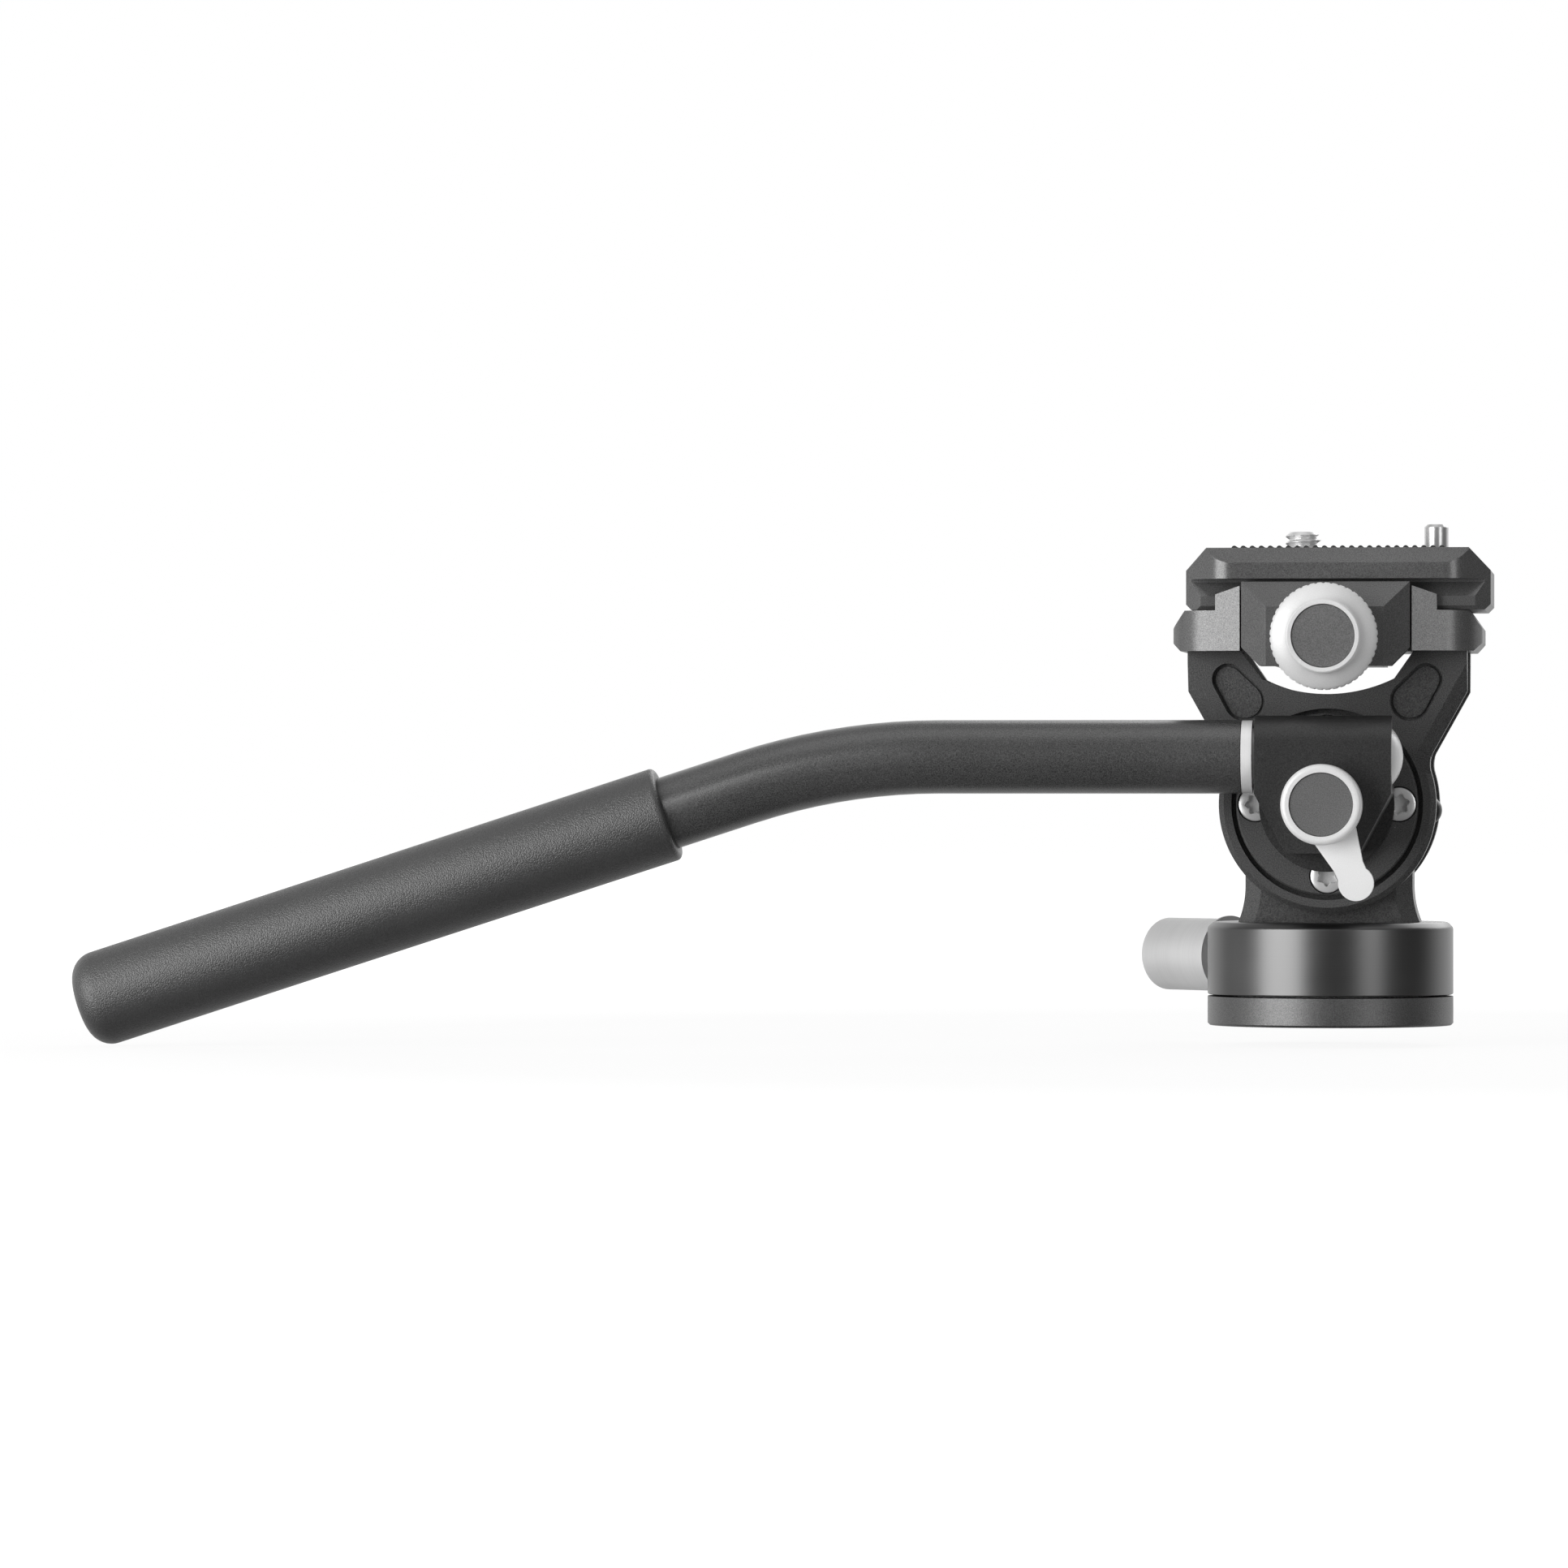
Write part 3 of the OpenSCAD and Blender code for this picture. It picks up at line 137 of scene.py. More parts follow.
# %% [markdown]
# In a real studio only the backdrop is white and the room behind the photographer is dim.
# Polished metal needs that dark half to look like metal. A picture of a studio could be wrapped
# round the head, but a few ramps of the direction are enough: a dim wall in front, a backdrop
# that fades upward, a pale ceiling, a pale wall on the left and a grey ground. They give the
# edges on those sides their own tones.

# %% Paint the walls that reflections find
DIM_WALL = 0.12
DIM_GROUND = 0.55
HIGH_WALL = 0.45
CEILING = 0.5
LEFT_WALL = 0.7
# where each ramp starts and ends, along Y, Z or X of the direction
WALL_ENDS = (0.2, 0.6)
GROUND_ENDS = (-0.5, -0.05)
HIGH_ENDS = (0.4, 0.85)
CEILING_ENDS = (0.35, 0.9)
LEFT_ENDS = (-0.8, -1.0)

white_room = bpy.data.worlds.new("white_room")
white_room.use_nodes = True
bpy.context.scene.world = white_room
room_tree = white_room.node_tree
room_place = room_tree.nodes.new("ShaderNodeTexCoord")
room_way = room_tree.nodes.new("ShaderNodeSeparateXYZ")
room_tree.links.new(room_place.outputs["Generated"], room_way.inputs["Vector"])
way_x, way_y, way_z = (room_way.outputs[axis] for axis in "XYZ")
wall = remap(room_tree, way_y, *WALL_ENDS, DIM_WALL, 1.0)
ground = remap(room_tree, way_z, *GROUND_ENDS, DIM_GROUND, 1.0)
high = remap(room_tree, way_z, *HIGH_ENDS, 1.0, HIGH_WALL)
ceiling = remap(room_tree, way_z, *CEILING_ENDS, 0.0, CEILING)
left_wall = remap(room_tree, way_x, *LEFT_ENDS, 0.0, LEFT_WALL)
wall = sums(room_tree, "MULTIPLY", sums(room_tree, "MULTIPLY", wall, ground), high)
wall = sums(room_tree, "MAXIMUM", wall, ceiling)
wall = sums(room_tree, "MAXIMUM", wall, left_wall)
print("walls: behind 1.0, in front", DIM_WALL, "left", LEFT_WALL, "above", CEILING)

# %% [markdown]
# More lamps would make the ground white but bleach the silver knobs. So white is only what the
# camera sees of the world, mirror-like rays find the walls, and the light that the world itself
# gives is much less. A light path node tells these rays apart.

# %% Make the world white to look at and gentle to light with
AMBIENT = 0.14

room_light = room_tree.nodes["Background"]
room_light.inputs["Color"].default_value = (1.0, 1.0, 1.0, 1.0)
room_path = room_tree.nodes.new("ShaderNodeLightPath")
seen = room_path.outputs["Is Camera Ray"]
seen_through = room_path.outputs["Is Transmission Ray"]
mirrored = remap(room_tree, room_path.outputs["Is Glossy Ray"], 0.0, 1.0, AMBIENT, wall)
looked_at = sums(room_tree, "MAXIMUM", seen, seen_through)
strength = remap(room_tree, looked_at, 0.0, 1.0, mirrored, 1.0)
room_tree.links.new(strength, room_light.inputs["Strength"])
print("world:", white_room.name, "ambient", AMBIENT)

# %% [markdown]
# ## The floor
# The floor lies just under the lowest point, which is the hanging end of the grip. It is one
# square, wide enough that its edge stays far off. Mirror-like rays pass it by, because its edge
# drawn across the turned base would look like a tide mark.

# %% Lay the floor
FLOOR_HALF = 4.0
FLOOR_DROP = 0.0004

floor_z = solid_box[0][2] - FLOOR_DROP
floor_mesh = bpy.data.meshes.new("pale_floor")
floor_mesh.from_pydata(
    [
        (-FLOOR_HALF, -FLOOR_HALF, floor_z),
        (FLOOR_HALF, -FLOOR_HALF, floor_z),
        (FLOOR_HALF, FLOOR_HALF, floor_z),
        (-FLOOR_HALF, FLOOR_HALF, floor_z),
    ],
    [],
    [(0, 1, 2, 3)],
)
pale_floor = bpy.data.objects.new("pale_floor", floor_mesh)
bpy.context.collection.objects.link(pale_floor)
pale_floor.visible_glossy = False
print("floor at Z", round(floor_z * 1000, 2), "mm")

# %% [markdown]
# A solid white slab would do for this picture, but on a tripod the handle swings below the base,
# and a slab would hide it. So the floor is a pale film: the camera looks mostly through it at
# the white behind, and the rest is real light, so the soft shadow of the head still falls on it.
# Its clear share is lifted a little above 1, to make up for the grey of the other share. Away
# from the head the film clears and no horizon shows, and lamps shine through it.

# %% Give the floor its film
FILM_GREY = (0.5, 0.5, 0.5, 1.0)
FILM_ROUGHNESS = 0.9
FILM_CLEAR = 0.8
FILM_LIFT = 1.15
FILM_ENDS = (0.2, 0.6)

floor_sheet = bpy.data.materials.new("floor_sheet")
floor_sheet.use_nodes = True
floor_tree = floor_sheet.node_tree
floor_matte = floor_tree.nodes["Principled BSDF"]
floor_matte.inputs["Base Color"].default_value = FILM_GREY
floor_matte.inputs["Roughness"].default_value = FILM_ROUGHNESS
floor_clear = floor_tree.nodes.new("ShaderNodeBsdfTransparent")
floor_clear.inputs["Color"].default_value = (FILM_LIFT, FILM_LIFT, FILM_LIFT, 1.0)
floor_place = floor_tree.nodes.new("ShaderNodeTexCoord")
floor_reach = floor_tree.nodes.new("ShaderNodeVectorMath")
floor_reach.operation = "LENGTH"
floor_tree.links.new(floor_place.outputs["Object"], floor_reach.inputs[0])
floor_share = remap(floor_tree, floor_reach.outputs["Value"], *FILM_ENDS, FILM_CLEAR, 1.0)
floor_path = floor_tree.nodes.new("ShaderNodeLightPath")
seen = floor_path.outputs["Is Camera Ray"]
seen_through = floor_path.outputs["Is Transmission Ray"]
clear = sums(floor_tree, "MULTIPLY", sums(floor_tree, "MAXIMUM", seen, seen_through), floor_share)
clear = sums(floor_tree, "MAXIMUM", clear, floor_path.outputs["Is Shadow Ray"])
floor_mix = floor_tree.nodes.new("ShaderNodeMixShader")
floor_tree.links.new(clear, floor_mix.inputs["Fac"])
floor_tree.links.new(floor_matte.outputs["BSDF"], floor_mix.inputs[1])
floor_tree.links.new(floor_clear.outputs["BSDF"], floor_mix.inputs[2])
floor_end = floor_tree.nodes["Material Output"]
floor_tree.links.new(floor_mix.outputs["Shader"], floor_end.inputs["Surface"])
floor_mesh.materials.append(floor_sheet)
print("film:", floor_sheet.name, "clear to the camera by", FILM_CLEAR)

# %% [markdown]
# ## Studio light
# The turned base shows a broad bright stripe left of its middle, a weaker one on the right, and
# stays dark between them. An upright cylinder doubles angles when it mirrors, so the stripes
# tell where the lamps stand: a softbox a metre wide some 45 degrees to the left of the camera,
# and a weaker one 35 degrees to the right. A third hangs overhead for the tube's upper side,
# and a fourth, high behind the head, keeps the far side from going dark.

# %% Hang the softboxes
LIT_POINT = Vector((-0.04, 0.0, 0.045))


def hang_softbox(name, place, width, height, watts):
    """A rectangular area lamp that faces the head."""
    lamp = bpy.data.lights.new(name, "AREA")
    lamp.shape = "RECTANGLE"
    lamp.size = width
    lamp.size_y = height
    lamp.energy = watts
    box = bpy.data.objects.new(name, lamp)
    box.location = place
    box.rotation_euler = (LIT_POINT - Vector(place)).to_track_quat("-Z", "Y").to_euler()
    bpy.context.collection.objects.link(box)


# place, width, height and watts
SOFTBOXES = {
    "key_softbox": ((-0.86, -0.86, 0.22), 0.95, 1.0, 13.2),
    "top_softbox": ((-0.1, -0.25, 1.2), 1.1, 0.7, 1.0),
    "fill_softbox": ((0.78, -0.92, 0.2), 0.45, 0.7, 2.2),
    "rear_softbox": ((0.45, 0.95, 0.75), 1.2, 0.8, 5.5),
}
for name, (place, width, height, watts) in SOFTBOXES.items():
    hang_softbox(name, place, width, height, watts)
print("softboxes:", list(SOFTBOXES))

# %% [markdown]
# ## Effects that several finishes share
# Nearly every surface here is one of three kinds: blasted and anodised metal with a fine even
# grain, metal turned on a lathe with lines round its axis, or pebbled rubber. Each kind could
# be written again in every material. A node group with named sockets is built once instead,
# and each finish puts in its own colour, size and strength. All of them work in the object's
# own metres, so a grain of 0.3 mm is 0.3 mm on every piece.

# %% A helper that starts an effect
COLOUR = "NodeSocketColor"
NUMBER = "NodeSocketFloat"
PLACE = "NodeSocketVector"
NOISE_ENDS = (0.3, 0.7)
NOISE_DETAIL = 2.0


def new_effect(name, takes, gives):
    """An empty node group with named sockets, and the nodes at its two ends."""
    effect = bpy.data.node_groups.new(name, "ShaderNodeTree")
    for label, kind, start in takes:
        socket = effect.interface.new_socket(name=label, in_out="INPUT", socket_type=kind)
        socket.default_value = start
    for label, kind in gives:
        effect.interface.new_socket(name=label, in_out="OUTPUT", socket_type=kind)
    return effect, effect.nodes.new("NodeGroupInput"), effect.nodes.new("NodeGroupOutput")


def tinted(tree, colour, tone):
    """A colour made lighter or darker by a tone about 1."""
    node = tree.nodes.new("ShaderNodeVectorMath")
    node.operation = "SCALE"
    tree.links.new(colour, node.inputs[0])
    tree.links.new(tone, node.inputs["Scale"])
    return node.outputs["Vector"]


def noise(tree, place, scale, detail):
    """Soft random values in the object's own metres."""
    node = tree.nodes.new("ShaderNodeTexNoise")
    tree.links.new(place, node.inputs["Vector"])
    if isinstance(scale, bpy.types.NodeSocket):
        tree.links.new(scale, node.inputs["Scale"])
    else:
        node.inputs["Scale"].default_value = scale
    node.inputs["Detail"].default_value = detail
    return node.outputs["Fac"]


def spread_tone(tree, pattern, low, high, spread):
    """A tone about 1 that strays by the spread as a pattern goes from low to high."""
    darkest = sums(tree, "SUBTRACT", 1.0, spread)
    lightest = sums(tree, "ADD", 1.0, spread)
    return remap(tree, pattern, low, high, darkest, lightest)


def cloud_tone(tree, place, rate, stray):
    """Slow clouds that stray a little from 1."""
    clouds = noise(tree, place, rate, NOISE_DETAIL)
    return remap(tree, clouds, *NOISE_ENDS, 1.0 - stray, 1.0 + stray)


SHARED_GIVES = [("Colour", COLOUR), ("Roughness", NUMBER), ("Height", NUMBER)]
print("an effect gives:", [label for label, _ in SHARED_GIVES])

# %% [markdown]
# Blasting leaves countless dull dents a fraction of a millimetre across. A fine noise gives
# the dents, and a slow one the faint clouds that anodising and handling leave.

# %% Blasted grain
BLASTED_CLOUDS = 55.0
BLASTED_STRAY = 0.07

blasted_grain, takes, gives = new_effect(
    "blasted_grain",
    [
        ("Colour", COLOUR, (0.02, 0.02, 0.02, 1.0)),
        ("Spread", NUMBER, 0.2),
        ("Roughness", NUMBER, 0.4),
        ("Grains per metre", NUMBER, 3500.0),
    ],
    SHARED_GIVES,
)
where = blasted_grain.nodes.new("ShaderNodeTexCoord").outputs["Object"]
dents = noise(blasted_grain, where, takes.outputs["Grains per metre"], NOISE_DETAIL)
clouds = cloud_tone(blasted_grain, where, BLASTED_CLOUDS, BLASTED_STRAY)
dent_tone = spread_tone(blasted_grain, dents, *NOISE_ENDS, takes.outputs["Spread"])
tone = sums(blasted_grain, "MULTIPLY", dent_tone, clouds)
colour = tinted(blasted_grain, takes.outputs["Colour"], tone)
roughness = sums(blasted_grain, "MULTIPLY", takes.outputs["Roughness"], clouds)
blasted_grain.links.new(colour, gives.inputs["Colour"])
blasted_grain.links.new(roughness, gives.inputs["Roughness"])
blasted_grain.links.new(dents, gives.inputs["Height"])
print("effect:", blasted_grain.name, "with", len(blasted_grain.nodes), "nodes")

# %% [markdown]
# A lathe tool leaves rings round the turning axis. They depend only on how far a point is
# from the axis and how far along it, so those two numbers alone feed a flat noise. The finish
# turns its own axis to Z before it hands the place over.

# %% Turned lines
LINE_DETAIL = 3.0
TURNED_CLOUDS = 70.0
TURNED_STRAY = 0.06

turned_lines, takes, gives = new_effect(
    "turned_lines",
    [
        ("Place", PLACE, (0.0, 0.0, 0.0)),
        ("Colour", COLOUR, (0.1, 0.1, 0.1, 1.0)),
        ("Spread", NUMBER, 0.2),
        ("Roughness", NUMBER, 0.3),
        ("Lines per metre", NUMBER, 4000.0),
    ],
    SHARED_GIVES,
)
split = turned_lines.nodes.new("ShaderNodeSeparateXYZ")
turned_lines.links.new(takes.outputs["Place"], split.inputs["Vector"])
across = sums(turned_lines, "POWER", split.outputs["X"], 2.0)
beside = sums(turned_lines, "POWER", split.outputs["Y"], 2.0)
from_axis = sums(turned_lines, "SQRT", sums(turned_lines, "ADD", across, beside))
flat_place = turned_lines.nodes.new("ShaderNodeCombineXYZ")
turned_lines.links.new(from_axis, flat_place.inputs["X"])
turned_lines.links.new(split.outputs["Z"], flat_place.inputs["Y"])
line_rate = takes.outputs["Lines per metre"]
lines = noise(turned_lines, flat_place.outputs["Vector"], line_rate, LINE_DETAIL)
clouds = cloud_tone(turned_lines, takes.outputs["Place"], TURNED_CLOUDS, TURNED_STRAY)
line_tone = spread_tone(turned_lines, lines, *NOISE_ENDS, takes.outputs["Spread"])
tone = sums(turned_lines, "MULTIPLY", line_tone, clouds)
colour = tinted(turned_lines, takes.outputs["Colour"], tone)
roughness = sums(turned_lines, "MULTIPLY", takes.outputs["Roughness"], tone)
turned_lines.links.new(colour, gives.inputs["Colour"])
turned_lines.links.new(roughness, gives.inputs["Roughness"])
turned_lines.links.new(lines, gives.inputs["Height"])
print("effect:", turned_lines.name, "with", len(turned_lines.nodes), "nodes")

# %% [markdown]
# Moulded rubber copies the etched skin of its mould: small rounded pebbles with soft valleys.
# A smooth cell pattern has that form. Finer noise on top keeps the pebbles from looking tiled.

# %% Pebbled rubber
PEBBLE_SMOOTHNESS = 0.5
DOME_ENDS = (0.1, 0.75)
FINE_RATE = 2.2
FINE_SHARE = 0.6
RELIEF_ENDS = (0.4, 1.3)
RUBBER_CLOUDS = 40.0
RUBBER_STRAY = 0.08

pebbled_rubber, takes, gives = new_effect(
    "pebbled_rubber",
    [
        ("Colour", COLOUR, (0.05, 0.05, 0.05, 1.0)),
        ("Spread", NUMBER, 0.2),
        ("Roughness", NUMBER, 0.6),
        ("Pebbles per metre", NUMBER, 1500.0),
    ],
    SHARED_GIVES,
)
where = pebbled_rubber.nodes.new("ShaderNodeTexCoord").outputs["Object"]
cells = pebbled_rubber.nodes.new("ShaderNodeTexVoronoi")
cells.feature = "SMOOTH_F1"
cells.inputs["Smoothness"].default_value = PEBBLE_SMOOTHNESS
pebbled_rubber.links.new(where, cells.inputs["Vector"])
pebbled_rubber.links.new(takes.outputs["Pebbles per metre"], cells.inputs["Scale"])
fine_rate = sums(pebbled_rubber, "MULTIPLY", takes.outputs["Pebbles per metre"], FINE_RATE)
fine = noise(pebbled_rubber, where, fine_rate, NOISE_DETAIL)
dome = remap(pebbled_rubber, cells.outputs["Distance"], *DOME_ENDS, 1.0, 0.0)
relief = sums(pebbled_rubber, "ADD", sums(pebbled_rubber, "MULTIPLY", fine, FINE_SHARE), dome)
clouds = cloud_tone(pebbled_rubber, where, RUBBER_CLOUDS, RUBBER_STRAY)
relief_tone = spread_tone(pebbled_rubber, relief, *RELIEF_ENDS, takes.outputs["Spread"])
tone = sums(pebbled_rubber, "MULTIPLY", relief_tone, clouds)
colour = tinted(pebbled_rubber, takes.outputs["Colour"], tone)
roughness = sums(pebbled_rubber, "MULTIPLY", takes.outputs["Roughness"], clouds)
pebbled_rubber.links.new(colour, gives.inputs["Colour"])
pebbled_rubber.links.new(roughness, gives.inputs["Roughness"])
pebbled_rubber.links.new(relief, gives.inputs["Height"])
print("effect:", pebbled_rubber.name, "with", len(pebbled_rubber.nodes), "nodes")

# %% [markdown]
# Black surfaces show every speck of dust under studio light. A coarse cell pattern puts one
# possible speck in each cell, and each cell's own random value decides whether it is there. The
# mix node keeps sockets for several kinds of value, so its colours are picked by number.

# %% Stray dust
SPECK_ENDS = (0.03, 0.055)
SPECK_STRENGTH = 0.55
SPECK_GREY = (0.42, 0.42, 0.42, 1.0)
FIRST_COLOUR = 6
MIXED_COLOUR = 2

stray_dust, takes, gives = new_effect(
    "stray_dust",
    [
        ("Colour", COLOUR, (0.02, 0.02, 0.02, 1.0)),
        ("Share of cells", NUMBER, 0.12),
        ("Cells per metre", NUMBER, 420.0),
    ],
    [("Colour", COLOUR)],
)
where = stray_dust.nodes.new("ShaderNodeTexCoord").outputs["Object"]
cells = stray_dust.nodes.new("ShaderNodeTexVoronoi")
stray_dust.links.new(where, cells.inputs["Vector"])
stray_dust.links.new(takes.outputs["Cells per metre"], cells.inputs["Scale"])
lots = stray_dust.nodes.new("ShaderNodeSeparateColor")
stray_dust.links.new(cells.outputs["Color"], lots.inputs["Color"])
chosen = sums(stray_dust, "LESS_THAN", lots.outputs["Red"], takes.outputs["Share of cells"])
close = remap(stray_dust, cells.outputs["Distance"], *SPECK_ENDS, SPECK_STRENGTH, 0.0)
speck = sums(stray_dust, "MULTIPLY", chosen, close)
dusted = stray_dust.nodes.new("ShaderNodeMix")
dusted.data_type = "RGBA"
dusted.inputs["B"].default_value = SPECK_GREY
stray_dust.links.new(speck, dusted.inputs["Factor"])
stray_dust.links.new(takes.outputs["Colour"], dusted.inputs[FIRST_COLOUR])
stray_dust.links.new(dusted.outputs[MIXED_COLOUR], gives.inputs["Colour"])
print("effect:", stray_dust.name, "with", len(stray_dust.nodes), "nodes")

# %% [markdown]
# ## A finish from an effect
# A finish is a Principled shader with one effect in front of it. What is the same all over,
# such as how metallic it is, is set on the shader itself. Its specular tint, called rim here,
# dulls the shine where a metal face is seen edge on. Height goes through a bump node, whose
# distance is the real depth of the grain.

# %% A helper that mixes a finish
def grey(level):
    """A neutral colour: the anodising on this head has no tint."""
    return (level, level, level, 1.0)


def new_finish(
    name, effect, settings, depth, metallic=0.0, specular=0.5, rim=1.0, dust=0.0, axis=None
):
    """A material whose colour, roughness and bump come from one effect."""
    finish = bpy.data.materials.new(name)
    finish.use_nodes = True
    tree = finish.node_tree
    shader = tree.nodes["Principled BSDF"]
    shader.inputs["Metallic"].default_value = metallic
    shader.inputs["Specular IOR Level"].default_value = specular
    shader.inputs["Specular Tint"].default_value = grey(rim)
    source = tree.nodes.new("ShaderNodeGroup")
    source.node_tree = effect
    for label, value in settings.items():
        source.inputs[label].default_value = value
    if axis:
        centre, direction = axis
        place = tree.nodes.new("ShaderNodeTexCoord")
        turn = tree.nodes.new("ShaderNodeMapping")
        turn.vector_type = "TEXTURE"
        turn.inputs["Location"].default_value = centre
        upright = Vector((0.0, 0.0, 1.0)).rotation_difference(Vector(direction))
        turn.inputs["Rotation"].default_value = upright.to_euler()
        tree.links.new(place.outputs["Object"], turn.inputs["Vector"])
        tree.links.new(turn.outputs["Vector"], source.inputs["Place"])
    colour = source.outputs["Colour"]
    if dust:
        specks = tree.nodes.new("ShaderNodeGroup")
        specks.node_tree = stray_dust
        specks.inputs["Share of cells"].default_value = dust
        tree.links.new(colour, specks.inputs["Colour"])
        colour = specks.outputs["Colour"]
    tree.links.new(colour, shader.inputs["Base Color"])
    tree.links.new(source.outputs["Roughness"], shader.inputs["Roughness"])
    bump = tree.nodes.new("ShaderNodeBump")
    bump.inputs["Strength"].default_value = 1.0
    bump.inputs["Distance"].default_value = depth
    tree.links.new(source.outputs["Height"], bump.inputs["Height"])
    tree.links.new(bump.outputs["Normal"], shader.inputs["Normal"])
    return finish


def effect_settings(colour, spread, roughness, label, rate):
    """Settings that every effect takes, and the rate under its own label."""
    return {"Colour": grey(colour), "Spread": spread, "Roughness": roughness, label: rate}


def grain(colour, spread, roughness, rate):
    """Settings of the blasted grain."""
    return effect_settings(colour, spread, roughness, "Grains per metre", rate)


def lathe(colour, spread, roughness, rate):
    """Settings of the turned lines."""
    return effect_settings(colour, spread, roughness, "Lines per metre", rate)


def rubber(colour, spread, roughness, rate):
    """Settings of the pebbled rubber."""
    return effect_settings(colour, spread, roughness, "Pebbles per metre", rate)


def middle_of(node):
    """The middle of a solid's box."""
    low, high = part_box(node)
    return tuple((a + b) / 2 for a, b in zip(low, high))


print("the clamp knob's middle, mm:", [round(v * 1000, 1) for v in middle_of("clamp_knob")])

# %% [markdown]
# ## Black and grey anodising
# The cheeks, the stand and the handle block are blasted before they are anodised black, so
# they shine weakly and evenly; the block takes a darker copy of that black, which is painted
# shade. The platform, the jaw and the quick plate have more gloss, which lets the slanted posts
# catch the key light. The pan housing is turned and left so, and the metal shines through the
# dye; the base plate under it is blasted as well, which softens its stripes. The tube has a hard
# black powder coat.

# %% Mix the dark metal finishes
black_metal = new_finish(
    "black_blasted_anodising",
    blasted_grain,
    grain(0.067, 0.75, 0.38, 5400.0),
    0.00004,
    specular=0.7,
    dust=0.05,
)
# The handle block: a darker copy of the black anodising, painted shade.
painted_shade_block_metal = new_finish(
    "black_block_painted_shade", blasted_grain, grain(0.028, 0.6, 0.36, 5400.0), 0.00003, dust=0.05
)
plate_metal = new_finish(
    "black_satin_anodising",
    blasted_grain,
    grain(0.17, 0.35, 0.3, 6000.0),
    0.000012,
    metallic=0.52,
    rim=0.3,
    dust=0.02,
)
grey_metal = new_finish(
    "dark_turned_anodising",
    turned_lines,
    lathe(0.14, 0.04, 0.34, 9000.0),
    0.0000006,
    metallic=1.0,
    axis=((0.0, 0.0, 0.0), (0.0, 0.0, 1.0)),
)
base_metal = new_finish(
    "dark_blasted_base",
    blasted_grain,
    grain(0.15, 0.3, 0.42, 5400.0),
    0.00002,
    metallic=0.75,
    dust=0.02,
)
tube_metal = new_finish(
    "black_powder_coat",
    blasted_grain,
    grain(0.06, 0.7, 0.27, 5600.0),
    0.00002,
    specular=1.0,
    dust=0.06,
)
dark_finishes = (black_metal, painted_shade_block_metal, plate_metal, grey_metal, base_metal, tube_metal)
print("dark finishes:", [finish.name for finish in dark_finishes])

# %% [markdown]
# ## Bright metal
# The clamp knob and the lever are blasted and left in the silver of the metal, nearly white,
# round dark blasted inserts; the lever takes a lighter copy of that silver, which is painted
# light. The spigot that carries the tube is silver but turned, and so are the two satin lock
# knobs. Each turned piece has its own axis, so each gets its own finish.

# %% Mix the bright metal finishes
TILT_AXIS_Z = middle_of("tilt_axle")[2]

silver_metal = new_finish(
    "silver_blasted", blasted_grain, grain(0.88, 0.03, 0.5, 5200.0), 0.000012, metallic=0.35
)
# The lever: a lighter copy of the knob's silver, painted light.
painted_light_lever_metal = new_finish(
    "silver_lever_painted_light", blasted_grain, grain(0.93, 0.03, 0.45, 5200.0), 0.000012, metallic=0.15
)
spigot_metal = new_finish(
    "silver_turned",
    turned_lines,
    lathe(0.92, 0.05, 0.34, 7000.0),
    0.000001,
    metallic=0.15,
    axis=(middle_of("handle_spigot"), (1.0, 0.0, 0.0)),
)
lock_low, lock_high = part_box("pan_lock_knob")
pan_lock_metal = new_finish(
    "satin_turned_pan_lock",
    turned_lines,
    lathe(0.79, 0.03, 0.42, 6000.0),
    0.000001,
    metallic=0.2,
    axis=((0.0, 0.0, (lock_low[2] + lock_high[2]) / 2), (-1.0, 1.0, 0.0)),
)
tilt_lock_metal = new_finish(
    "satin_turned_tilt_lock",
    turned_lines,
    lathe(0.79, 0.03, 0.42, 6000.0),
    0.000001,
    metallic=0.2,
    axis=((0.0, 0.0, TILT_AXIS_Z), (0.0, 1.0, 0.0)),
)
insert_metal = new_finish(
    "dark_blasted_insert", blasted_grain, grain(0.21, 0.3, 0.4, 6000.0), 0.00002, metallic=0.5
)
print("the tilt axis is at Z", round(TILT_AXIS_Z * 1000, 2), "mm")

# %% [markdown]
# ## Fasteners, rubber and small plastics
# The hub screws and the stud are plated, and the pin is bright steel, all barely grained. The
# screws inside are blackened, the bearings are bronze and the washers a pale slippery plastic:
# they show only when the head is taken apart, but each still has its own finish. The grip is
# foam rubber with a pebbled skin.

# %% Mix the remaining finishes
plated_steel = new_finish(
    "plated_steel", blasted_grain, grain(0.85, 0.05, 0.3, 7000.0), 0.000002, metallic=0.5
)
steel = new_finish(
    "bright_steel", blasted_grain, grain(0.66, 0.05, 0.28, 7000.0), 0.000002, metallic=0.7
)
dark_steel = new_finish(
    "blackened_steel", blasted_grain, grain(0.05, 0.2, 0.34, 2600.0), 0.000008, metallic=0.6
)
grip_rubber = new_finish(
    "pebbled_grip_rubber",
    pebbled_rubber,
    rubber(0.056, 0.2, 0.39, 4200.0),
    0.00005,
    specular=1.0,
    dust=0.06,
)
pad_rubber = new_finish(
    "pad_rubber", pebbled_rubber, rubber(0.05, 0.25, 0.62, 3200.0), 0.00003, dust=0.05
)
seal_rubber = new_finish(
    "seal_rubber", pebbled_rubber, rubber(0.03, 0.2, 0.5, 3600.0), 0.00001
)
bush_bronze = new_finish(
    "bearing_bronze",
    turned_lines,
    {
        "Colour": (0.58, 0.36, 0.16, 1.0),
        "Spread": 0.1,
        "Roughness": 0.32,
        "Lines per metre": 4000.0,
    },
    0.000003,
    metallic=1.0,
    axis=((0.0, 0.0, TILT_AXIS_Z), (0.0, 1.0, 0.0)),
)
